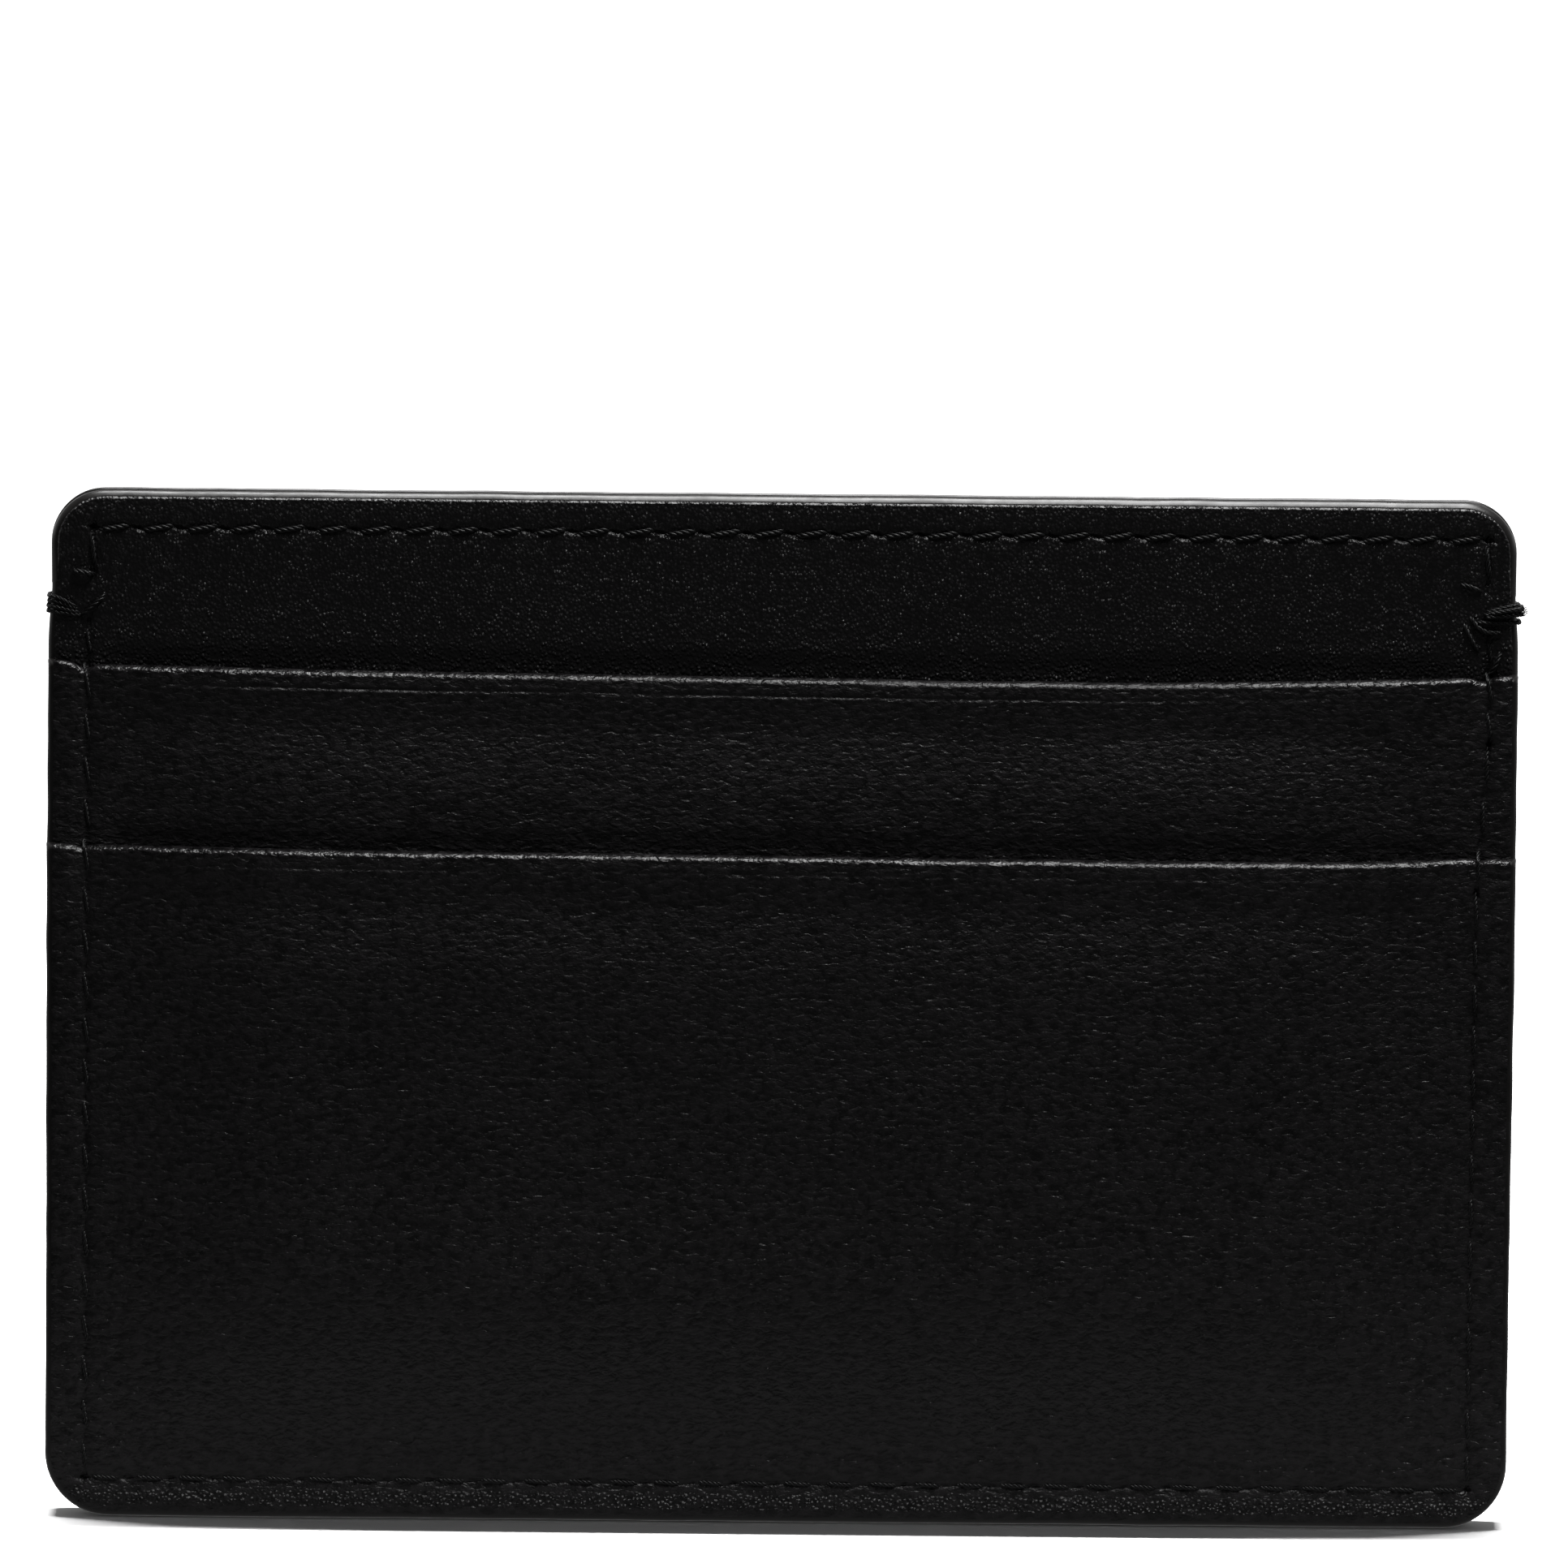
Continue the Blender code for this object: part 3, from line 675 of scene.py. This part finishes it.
def make_sheets():
    """The leathers and linings, with rows closest together at the seams, the mouths and the lips' edges."""
    low_rows, low_end = round_low_rows(0.22)
    high_rows, high_start = round_high_rows(0.22)

    rows = low_rows + list(spaced([(low_end, 0.4), (high_start, 0.4)])) + high_rows
    rows = with_fine(rows, SEAM_LOW - 0.6, SEAM_LOW + 0.6, 0.1)
    rows = with_fine(rows, LIP_SEAM_HIGH - 0.6, LIP_SEAM_HIGH + 0.6, 0.1)
    rear = add_sheet("rear_leather", REAR, rows, BACK_LEATHER, step=0.36, round_high=True)
    finish_piece(rear, ["rear_panel", "rear_lip"], REAR_LIP)

    hidden = spaced([(SHEET_LOW, 2.0), (UPPER_MOUTH - 3.0, 2.0)])[:-1]
    rows = list(hidden) + list(spaced([(UPPER_MOUTH - 3.0, 0.24), (high_start, 0.24)])) + high_rows
    rows = with_fine(rows, LIP_SEAM_HIGH - 0.6, LIP_SEAM_HIGH + 0.6, 0.07)
    rows = with_fine(rows, SHEET_HIGH - 0.32, SHEET_HIGH, 0.04)
    backing = add_sheet("front_backing_leather", BACKING, rows, PIN_GRAIN, step=0.20, round_high=True)
    finish_piece(backing, ["front_backing", "front_lip"], FRONT_LIP)

    rows = [SHEET_LOW + r for r in corner_rows(4.0, 0.5)]
    rows += list(spaced([(SHEET_LOW + 4.0, 2.0), (high_start, 2.0)])) + high_rows[::2]
    for name, ply, nodes, lip, leather in (
        ("rear_lining_cloth", REAR_CLOTH, ["rear_lining", "rear_lip_lining"], REAR_LIP, rear),
        ("front_lining_cloth", FRONT_CLOTH, ["front_lining", "front_lip_lining"], FRONT_LIP, backing),
    ):
        cloth = add_sheet(name, ply, rows, CLOTH, step=1.0, round_high=True, fine=False)
        finish_piece(cloth, nodes, lip)

    crease_top = UPPER_MOUTH - CREASE_BELOW
    stops = [(FACE_LOW, 1.0), (LOWER_MOUTH - 3.0, 0.28), (UPPER_MOUTH - 2.0, 0.12), (UPPER_MOUTH, 0.12)]
    rows = with_fine(list(spaced(stops)), crease_top - 0.45, crease_top + 0.2, 0.05)
    face = add_sheet("upper_pocket_leather", FACE, rows, UPPER_LEATHER,
                     low=FACE_LOW, high=UPPER_MOUTH, round_low=False)
    finish_piece(face, ["upper_pocket_face"])

    crease_top = LOWER_MOUTH - CREASE_BELOW
    rows = low_rows + list(spaced([(low_end, 0.30), (LOWER_MOUTH - 2.0, 0.12), (LOWER_MOUTH, 0.12)]))
    rows = with_fine(rows, crease_top - 0.45, crease_top + 0.2, 0.05)
    rows = with_fine(rows, SEAM_LOW - 0.6, SEAM_LOW + 0.6, 0.08)
    pocket = add_sheet("lower_pocket_leather", LOWER, rows, LOWER_LEATHER, high=LOWER_MOUTH)
    finish_piece(pocket, ["lower_pocket"])


def make_pocket_cloth():
    """The upper pocket's cloth, with its end turned back and sewn to the backing."""
    low, high = span("upper_pocket_fabric")
    hem_high = span("upper_pocket_hem")[1]
    thick = high[1] - low[1]
    front, back = low[1], hem_high[1]
    fold, behind = low[2] + 0.8, back - thick / 2
    bottom = ((front + back) / 2, low[2])
    route = [(front, high[2]), (front, fold), bottom, (behind, fold), (behind, hem_high[2])]
    columns = spaced([(low[0], 1.0), (high[0], 1.0)])
    inside = [(y + (thick if k < 2 else -thick) * 0.5, z + 0.05) for k, (y, z) in enumerate(route)]
    loop = route + inside[::-1]
    points = []
    for y, z in loop:
        for x in columns:
            points.append((x, y + FACE.squeeze * float(squeeze(x, z)), z))
    cloth = add_mesh("upper_pocket_cloth", points, sleeve_faces(len(loop), len(columns)), CLOTH)
    finish_piece(cloth, ["upper_pocket_fabric", "upper_pocket_hem"])


# ---- edge paint

# The body's bead: its rounding, and how far it wraps over the leather.
BODY_ROUND, BODY_WRAP = 0.55, 0.05
# A lip's bead is set back behind the leather's face, slopes up from it over a share of its thickness,
# and is rounded on the inside. The rear one stands a little higher.
LIP_STEP = 0.14
LIP_SLOPE_SHARE, LIP_SLOPE = 0.62, 1.95
INNER_ROUND = 0.26
REAR_RISE = 0.05
# How far inside the leather a bead's foot lies, and how deep the body's bead is set into its faces.
FOOT, INSET = 0.55, 0.10


def quarter(radius, steps):
    """A quarter circle, from (-radius, 0) to (0, radius), as (out, through)."""
    angles = [math.pi / 2 * k / steps for k in range(steps + 1)]
    return [(radius * math.sin(a) - radius, radius - radius * math.cos(a)) for a in angles]


def bead_section(thick, body):
    """A bead's outline: how far out and how far through, from the front face round to the back."""
    reach = BEAD_DEPTH + (REAR_RISE if body == REAR_LIP else 0.0)

    def rounded(radius, wrap):
        radius = min(radius, thick / 2)
        corner = [(reach + out, through) for out, through in quarter(radius, 8)]
        return [(BEAD_DEPTH - FOOT - wrap, 0.12), (reach - radius - wrap, 0.01)] + corner

    def sloped():
        width = LIP_SLOPE_SHARE * thick
        slope = [(reach - reach * (1 - k / 8) ** LIP_SLOPE, width * k / 8) for k in range(9)]
        return [(BEAD_DEPTH - FOOT, 0.12), (-0.02, 0.0)] + slope

    front, back = {
        HOLDER: (rounded(BODY_ROUND, BODY_WRAP), rounded(BODY_ROUND, BODY_WRAP)),
        FRONT_LIP: (sloped(), rounded(INNER_ROUND, 0.0)),
        REAR_LIP: (rounded(INNER_ROUND, 0.0), sloped()),
    }[body]
    return front + [(out, thick - through) for out, through in reversed(back)]


def outline_route(low, high, round_top):
    """Stations along a sheet's cut edge, as (x, z, out_x, out_z)."""
    radius = TOP_BEND if round_top else BOTTOM_BEND
    sign = 1 if round_top else -1
    end, start = (high, low) if round_top else (low, high)
    centre_z = end - sign * radius
    heights = spaced([(min(start, centre_z), 0.25), (max(start, centre_z), 0.25)])
    for mouth in (UPPER, LOW):
        if heights[0] < mouth.height < heights[-1]:
            heights = with_fine(heights, mouth.height - 0.8, mouth.height + 0.5, 0.06)
    left = [(-SHEET_HALF, z, -1.0, 0.0) for z in sorted(heights, reverse=not round_top)]
    for k in range(1, 17):
        angle = math.pi / 2 * k / 16
        out_x, out_z = -math.cos(angle), sign * math.sin(angle)
        left.append((-SHEET_HALF + radius + radius * out_x, centre_z + radius * out_z, out_x, out_z))
    across = SHEET_HALF - radius
    middle = [(-across + 2 * across * k / 240, end, 0.0, float(sign)) for k in range(1, 240)]
    right = [(-x, z, -out_x, out_z) for x, z, out_x, out_z in reversed(left)]
    return left + middle + right


def bead_faces_at(x, z, out_x, out_z, body):
    """The y of the front and the back of what a bead covers."""
    px, pz = x - out_x * 0.4, z - out_z * 0.4
    if body == HOLDER:
        front = outer_y(BACKING, px, pz)
        for ply in (FACE, LOWER):
            top = ply.mouth.height - float(drop(ply, np.array(px)))
            t = np.clip((top - z) / LIP_ROUND, 0.0, 1.0)
            covered = math.sqrt(1 - (1 - t) ** 2)
            front += (outer_y(ply, px, min(pz, ply.mouth.height)) - front) * covered
        return front + INSET, outer_y(REAR, px, pz) - INSET
    if body == FRONT_LIP:
        return outer_y(BACKING, px, pz) + LIP_STEP, inner_y(FRONT_CLOTH, px, pz)
    return inner_y(REAR_CLOTH, px, pz), outer_y(REAR, px, pz) - LIP_STEP


def add_bead(name, stations, body, nodes, lip=None):
    """A bead of paint along stations on a cut edge, a little uneven."""
    points = []
    for x, z, out_x, out_z in stations:
        front, back = bead_faces_at(x, z, out_x, out_z, body)
        waver = 0.025 * float(noise(x + z, z, 3.0, 3.0, 12))
        for out, through in bead_section(back - front, body):
            shown = smooth(out / 0.2)
            reach = out + shown * (waver + 0.015 * math.sin((front + through) * 7.0))
            points.append((x + out_x * reach, front + through, z + out_z * reach))
    count = len(bead_section(2.0, body))
    faces = grid_faces(len(stations), count, closed_rows=False, closed_columns=True)
    faces.append(list(range(count)))
    faces.append([(len(stations) - 1) * count + k for k in reversed(range(count))])
    return finish_piece(add_mesh(name, points, faces, PAINT, 60.0), nodes, lip)


def make_beads():
    """One bead round the body's sides and bottom, and one round each lip."""
    body = outline_route(SHEET_LOW, LIP_LINE, False)
    add_bead("body_edge_bead", body, HOLDER, ["edge_paint_left", "edge_paint_right", "edge_paint_bottom"])
    lips = outline_route(LIP_LINE - 0.2, SHEET_HIGH, True)
    add_bead("front_lip_edge_bead", lips, FRONT_LIP, ["edge_paint_front_lip"], FRONT_LIP)
    add_bead("rear_lip_edge_bead", lips, REAR_LIP, ["edge_paint_rear_lip"], REAR_LIP)


# ---- thread

STRANDS = 3
STRAND_SIDES = 6


def strand_tubes(path, radius, twist=1.3, start_turn=0.0):
    """Points and faces of a thread of twisted strands that follows a path."""
    path = np.asarray(path, float)
    steps = np.linalg.norm(np.diff(path, axis=0), axis=1)
    along = np.concatenate([[0.0], np.cumsum(steps)])
    count = max(6, int(along[-1] / twist * 12))
    where = np.linspace(0.0, along[-1], count)
    line = np.stack([np.interp(where, along, path[:, k]) for k in range(3)], axis=1)
    tangent = np.gradient(line, axis=0)
    tangent /= np.linalg.norm(tangent, axis=1)[:, None]
    side = np.zeros_like(line)
    current = np.array([0.0, 1.0, 0.0]) if abs(tangent[0][1]) < 0.9 else np.array([1.0, 0.0, 0.0])
    for k in range(count):
        current = current - tangent[k] * current.dot(tangent[k])
        current /= np.linalg.norm(current)
        side[k] = current
    up = np.cross(tangent, side)
    points, faces = [], []
    strand_r, orbit = radius * 0.54, radius * 0.52
    for strand in range(STRANDS):
        turn = 2 * math.pi * (strand / STRANDS + where / twist) + start_turn
        centre = line + orbit * (np.cos(turn)[:, None] * side + np.sin(turn)[:, None] * up)
        base = len(points)
        for corner in range(STRAND_SIDES):
            angle = 2 * math.pi * corner / STRAND_SIDES
            ring = centre + strand_r * (math.cos(angle) * side + math.sin(angle) * up)
            points += ring.tolist()
        for corner in range(STRAND_SIDES):
            beside = (corner + 1) % STRAND_SIDES
            for k in range(count - 1):
                a, b = base + corner * count + k, base + beside * count + k
                faces.append((a, b, b + 1, a + 1))
        faces.append([base + corner * count for corner in range(STRAND_SIDES)][::-1])
        faces.append([base + corner * count + count - 1 for corner in range(STRAND_SIDES)])
    return points, faces


def join_shapes(shapes):
    """Several lists of points and faces as one."""
    points, faces = [], []
    for more_points, more_faces in shapes:
        base = len(points)
        points += more_points
        faces += [[i + base for i in face] for face in more_faces]
    return points, faces


def stitch_path(start, end, leg, surface, outward, lift):
    """A stitch from hole to hole: up out of one, slanted over the leather, and down into the next."""
    start, end = np.array(start), np.array(end)
    path = []
    for k in range(17):
        t = k / 16
        x, z = start + (end - start) * t + leg.across * leg.lean * (2 * t - 1)
        rise = float(smooth(min(t, 1 - t) / HIDDEN))
        path.append((x, surface(x, z) + outward * (-0.50 * (1 - rise) + rise * lift), z))
    return path


def taut(path):
    """Pulls a stitch straight where it crosses from one sheet down to the next."""
    ys = [p[1] for p in path]
    eased = []
    for k, y in enumerate(ys):
        near = ys[max(0, k - 2):k + 3]
        eased.append(min(y, sum(near) / len(near)) if 0 < k < len(ys) - 1 else y)
    return [(x, y, z) for (x, _, z), y in zip(path, eased)]


def thread_piece(name, shapes, nodes, lip=None):
    """One piece made of several runs of thread."""
    points, faces = join_shapes(shapes)
    return finish_piece(add_mesh(name, points, faces, THREAD, 70.0), nodes, lip)


def make_seam(name, legs, surface, outward, node, lift, lip=None, radius=THREAD_R, twist=1.3, extra=()):
    shapes = [strand_tubes(path, radius, twist, 1.0) for path in extra]
    for leg in legs:
        for k, (start, end) in enumerate(zip(leg.holes, leg.holes[1:])):
            stitch = stitch_path(start, end, leg, surface, outward, lift)
            if surface is front_y:
                stitch = taut(stitch)
            shapes.append(strand_tubes(stitch, radius, twist, 1.3 * k))
    thread_piece(name, shapes, [node], lip)


def outer_face(ply):
    """A function that gives a sheet's outer face."""
    return lambda x, z: outer_y(ply, x, z)


def inner_face(ply):
    """A function that gives a sheet's inner face."""
    return lambda x, z: inner_y(ply, x, z)


def hidden_face(y, ply):
    """A function that gives the face of a hidden sheet, which follows one of the pockets."""
    return lambda x, z: y + ply.squeeze * float(squeeze(np.array(x), np.array(z)))


# How the lip seam's first thread comes out beside the left tack and goes back in: x, y and z.
LIP_SEAM_END = [(-48.5, 0.42, 64.95), (-48.3, 0.02, 64.98), (-47.9, -0.05, 64.92)]
LIP_SEAM_END += [(-47.4, -0.02, 64.8), (-47.2, 0.45, 64.72)]


def make_seams():
    """The lockstitch seams, each with one thread on either side of the sheets."""
    make_seam("front_perimeter_stitches", BODY_SEAM, front_y, -1,
              "perimeter_needle_thread", -0.10, radius=0.15, twist=1.0)
    make_seam("rear_perimeter_stitches", BODY_SEAM, outer_face(REAR), 1,
              "perimeter_bobbin_thread", -0.06, radius=0.16, twist=1.0)
    make_seam("front_lip_stitches", LIP_SEAM, outer_face(BACKING), -1,
              "front_lip_needle_thread", -0.02, FRONT_LIP, extra=[LIP_SEAM_END])
    make_seam("front_lip_inner_stitches", LIP_SEAM, inner_face(FRONT_CLOTH), 1,
              "front_lip_bobbin_thread", 0.0, FRONT_LIP, radius=0.13)
    make_seam("rear_lip_stitches", LIP_SEAM, outer_face(REAR), 1,
              "rear_lip_needle_thread", -0.02, REAR_LIP)
    make_seam("rear_lip_inner_stitches", LIP_SEAM, inner_face(REAR_CLOTH), -1,
              "rear_lip_bobbin_thread", 0.0, REAR_LIP, radius=0.13)
    for part in ("join", "hem"):
        node = f"upper_pocket_{part}_thread"
        low, high = span(node)
        z = (low[2] + high[2]) / 2
        leg = Leg((low[0], z), (high[0], z), 0.0)
        surface = hidden_face(low[1] + 0.15, FACE)
        make_seam(f"upper_pocket_{part}_stitches", [leg], surface, -1, node, 0.0, radius=0.14)


# ---- tacks

# Where a tack's turns lie on the faces.
TACK_X = 48.6
# The left tack's turns: the height at the edge, and the hole's x and height, both from the tack's middle.
LEFT_TURNS = ((-0.75, 47.75, -1.00), (-0.40, 47.87, -0.85), (-0.05, 47.99, -0.65), (0.30, 48.11, -0.50))
# The right tack's turns, the same, with how far out each stands.
RIGHT_TURNS = (
    (0.55, 47.9, 0.15, 0.17),
    (0.25, 47.7, -0.05, 0.26),
    (-0.05, 47.8, -0.20, 0.34),
    (-0.60, 47.2, -0.55, 0.18),
    (0.35, 48.1, 0.05, 0.42),
)
# Stitches that run on over the front from each tack: x, z, and how far proud.
LEFT_ARM = [(-47.75, 61.9, 0.02), (-47.4, 62.3, 0.16), (-46.9, 62.8, 0.18), (-46.45, 63.25, 0.05)]
RIGHT_ARMS = (
    [(46.45, 62.1, 0.05), (46.6, 61.6, 0.16), (46.95, 60.9, 0.16), (47.2, 60.4, 0.04)],
    [(48.75, 60.2, 0.05), (48.6, 59.8, 0.22), (48.35, 59.2, 0.24), (48.15, 58.8, 0.12)],
    [(46.9, 62.6, 0.05), (47.3, 62.0, 0.20), (47.9, 61.65, 0.20), (48.8, 61.6, 0.08)],
    [(46.3, 64.9, 0.02), (46.8, 64.8, 0.10), (47.5, 64.5, 0.04)],
)
HAIRS = 22
HAIR_STEPS = 6


def tack_turn(side, hole, edge_z, radius):
    """One turn of thread: out of its hole, slanted to the side edge, round it, and back in from behind."""
    x_in, z_in = hole
    x_out = HALF_WIDTH + radius
    front = front_y(side * TACK_X, TACK_Z) - radius
    rear = outer_y(REAR, side * TACK_X, TACK_Z) + radius
    half = [(x_in, 1.0), (x_in + 0.03, 0.45), (x_in + 0.25, 0.10), (x_in + 0.6, 0.0)]
    half += [(x_out - 1.0, 0.05), (x_out - 0.5, 0.16), (x_out - 0.15, 0.38), (x_out, 0.8)]
    path = [(x, front + depth) for x, depth in half] + [(x, rear - depth) for x, depth in reversed(half)]
    points = []
    for x, y in path:
        t = float(np.clip((x - x_in) / (x_out - 0.6 - x_in), 0.0, 1.0))
        points.append((side * x, y, z_in + (edge_z - z_in) * t))
    return points


def hair(start, direction, curl, length, thick):
    """A loose fibre that curls away from a cut thread end."""
    direction, curl = Vector(direction).normalized(), Vector(curl)
    path = []
    for k in range(HAIR_STEPS + 1):
        t = k / HAIR_STEPS
        path.append(Vector(start) + direction * length * t + curl * length * t * t)
    points = []
    for k, at in enumerate(path):
        along = (path[min(k + 1, HAIR_STEPS)] - path[max(k - 1, 0)]).normalized()
        side = along.orthogonal().normalized()
        up = along.cross(side)
        radius = thick * (1 - 0.8 * k / HAIR_STEPS)
        for corner in range(4):
            angle = math.pi / 2 * corner
            points.append(tuple(at + (side * math.cos(angle) + up * math.sin(angle)) * radius))
    faces = grid_faces(HAIR_STEPS + 1, 4, closed_rows=False, closed_columns=True)
    faces.append([3, 2, 1, 0])
    faces.append([HAIR_STEPS * 4 + corner for corner in range(4)])
    return points, faces


def surface_stitch(route, sink=0.45):
    """A stitch that runs over the front through points (x, z, how far proud), and dives in at both ends."""
    path = [(x, front_y(x, z) - proud, z) for x, z, proud in route]
    ends = [(x, y + sink, z) for x, y, z in (path[0], path[-1])]
    return ends[:1] + path + ends[1:]


def make_tacks():
    """Thread wound round each side edge at the end of the slot seams. No two turns lie alike."""
    left = []
    for k, (edge_z, hole_x, hole_z) in enumerate(LEFT_TURNS):
        turn = tack_turn(-1, (hole_x, TACK_Z + hole_z), TACK_Z + edge_z, 0.16 + 0.03 * (k % 2))
        left.append(strand_tubes(turn, 0.13, 1.1, k))
    left.append(strand_tubes(surface_stitch(LEFT_ARM), 0.17, 1.2))
    thread_piece("left_tack_thread", left, ["left_tack"])

    right = []
    for k, (edge_z, hole_x, hole_z, radius) in enumerate(RIGHT_TURNS):
        turn = tack_turn(1, (hole_x, TACK_Z + hole_z), TACK_Z + edge_z, radius)
        right.append(strand_tubes(turn, 0.15, 1.1, 2.0 * k))
    right += [strand_tubes(surface_stitch(route), 0.17, 1.2) for route in RIGHT_ARMS]
    rng = np.random.default_rng(11)
    x, y, z = HALF_WIDTH + 0.5, front_y(48.5, TACK_Z) + 0.2, TACK_Z + 0.2
    for _ in range(HAIRS):
        direction = (1.0, rng.uniform(-0.5, 0.3), rng.uniform(-0.5, 0.8))
        curl = (rng.uniform(-0.3, 0.1), rng.uniform(-0.2, 0.2), rng.uniform(-0.3, 0.6))
        start = (x - rng.uniform(0.0, 0.2), y + rng.uniform(-0.1, 0.1), z + rng.uniform(-0.35, 0.35))
        right.append(hair(start, direction, curl, rng.uniform(0.25, 0.6), 0.035))
    thread_piece("right_tack_thread", right, ["right_tack"])


# ---- stage

# Everything in this part is in metres.
FLOOR_REACH = 40.0
# The floor's painted glow, which lights the leather though the floor is no lamp: bright near the holder, then
# dim, with a painted shadow strip in front of it.
NEAR_FLOOR = (0.004, 0.035)
NEAR_GLOW, FAR_GLOW = 0.92, 0.11
PAINTED_SHADOW_STRIP, PAINTED_SHADOW_LEVEL = (0.0070, 0.0095), 0.42
# For the camera the floor goes over to plain white between these distances.
HORIZON = (0.03, 0.25)
# What comes from in front of the holder, from above and behind it, and from behind at its own height.
FRONT_LIGHT, BACK_LIGHT, LEVEL_LIGHT = 0.065, 0.26, 1.0
WHITE = (1.0, 1.0, 1.0, 1.0)


def floor_material():
    """Pale, and white out to the horizon. For rays other than the camera's it has no colour and glows with
    painted light instead: brightest near the holder, dimmer further off, with a painted shadow strip in front
    of it and a painted glow behind it.
    """
    look = Surface("pale_floor", (0.9, 0.9, 0.9), 0.6, 0.1)
    place = look.axes()
    beside = look.math("SUBTRACT", look.math("ABSOLUTE", place["X"]), HALF_WIDTH * MM)
    beside = look.math("MAXIMUM", beside, 0.0)
    square = look.math("MULTIPLY_ADD", place["Y"], place["Y"], look.math("MULTIPLY", beside, beside))
    away = look.math("SQRT", square)
    # Painted glow, brightest near the holder, darkened by a painted shadow strip where the floor light's
    # shadow falls in front of it.
    near = look.ramp(away, *NEAR_FLOOR, NEAR_GLOW, FAR_GLOW)
    near = look.math("MULTIPLY", near, look.ramp(away, *PAINTED_SHADOW_STRIP, PAINTED_SHADOW_LEVEL, 1.0))
    # Painted glow on the floor behind the holder.
    behind = look.ramp(place["Y"], 0.004, 0.02, 0.0, BACK_LIGHT)
    seen = look.add("LightPath")["Is Camera Ray"]
    lighting, shown = look.math("MAXIMUM", near, behind), look.ramp(away, *HORIZON, 0.0, 1.0)
    glow = look.add("Mix", Factor=seen, A=lighting, B=shown)["Result"]
    colour = look.tint(seen, (0.0, 0.0, 0.0), (0.9, 0.9, 0.9))
    return look.finish(Base_Color=colour, Emission_Color=WHITE, Emission_Strength=glow)


def make_floor():
    mesh = bpy.data.meshes.new("floor")
    corners = [(sx * FLOOR_REACH, sy * FLOOR_REACH, 0.0) for sx, sy in ((-1, -1), (1, -1), (1, 1), (-1, 1))]
    mesh.from_pydata(corners, [], [(0, 1, 2, 3)])
    mesh.materials.append(floor_material())
    floor = bpy.data.objects.new("floor", mesh)
    bpy.context.scene.collection.objects.link(floor)
    return floor


def make_backdrop():
    """White all round for the camera; for the leather, pale behind the holder and dim in front of it."""
    world = bpy.data.worlds.new("studio")
    world.use_nodes = True
    sky = Shading(world.node_tree)
    seen = sky.add("LightPath")["Is Camera Ray"]
    direction = sky.axes("Generated")
    share = sky.ramp(direction["Y"], -0.25, 0.30, 0.0, 1.0)
    level = sky.ramp(direction["Z"], 0.15, 0.50, LEVEL_LIGHT - FRONT_LIGHT, BACK_LIGHT - FRONT_LIGHT)
    light = sky.math("MULTIPLY_ADD", share, level, FRONT_LIGHT)
    sky.fill(sky.nodes["Background"], Color=WHITE, Strength=sky.math("MAXIMUM", seen, light))
    bpy.context.scene.world = world


def area_light(name, place, target, size, power, lit, state):
    """A rectangular light that shines only on one object (INCLUDE), or on all but it (EXCLUDE)."""
    lamp = bpy.data.lights.new(name, "AREA")
    lamp.shape = "RECTANGLE"
    lamp.size, lamp.size_y = size
    lamp.energy = power
    obj = bpy.data.objects.new(name, lamp)
    obj.location = place
    obj.rotation_mode = "QUATERNION"
    obj.rotation_quaternion = (Vector(target) - Vector(place)).to_track_quat("-Z", "Y")
    bpy.context.scene.collection.objects.link(obj)
    group = bpy.data.collections.new(name + "_receivers")
    group.objects.link(lit)
    group.collection_objects[0].light_linking.link_state = state
    obj.light_linking.receiver_collection = group


def make_lights(floor):
    """A softbox over the holder, and a narrow light behind it that gives the floor its short shadow."""
    area_light("top_softbox", (0.05, 0.02, 0.50), (0.0, 0.0, 0.04), (0.50, 0.20), 7.8, floor, "EXCLUDE")
    area_light("floor_light", (0.0, 0.045, 0.50), (0.0, 0.0, 0.0), (0.30, 0.012), 10.0, floor, "INCLUDE")


# The camera: how far off it is, how high and how tilted in degrees, how much width it takes in, and its aim.
CAMERA_DISTANCE = 1.6
CAMERA_ELEVATION = 6.0
CAMERA_ROLL = 0.55
FRAME_WIDTH = 0.1073
AIM = (0.00013, 0.0, 0.0508)


def make_camera():
    """A long lens, level with the holder and a little above it."""
    cam = bpy.data.cameras.new("camera")
    cam.sensor_width = 36.0
    cam.lens = cam.sensor_width * CAMERA_DISTANCE / FRAME_WIDTH
    cam.clip_start, cam.clip_end = 0.05, 100.0
    obj = bpy.data.objects.new("camera", cam)
    elevation = math.radians(CAMERA_ELEVATION)
    aim = Vector(AIM)
    obj.location = aim + Vector((0.0, -math.cos(elevation), math.sin(elevation))) * CAMERA_DISTANCE
    look = (aim - obj.location).to_track_quat("-Z", "Y")
    obj.rotation_euler = look.to_euler()
    obj.rotation_euler.rotate_axis("Z", math.radians(CAMERA_ROLL))
    bpy.context.scene.collection.objects.link(obj)
    bpy.context.scene.camera = obj


def main():
    make_camera()
    floor = make_floor()
    make_backdrop()
    make_lights(floor)
    make_sheets()
    make_pocket_cloth()
    make_beads()
    make_seams()
    make_tacks()
    bpy.context.scene.view_settings.view_transform = "Standard"
    bpy.context.scene.view_settings.look = "None"


main()
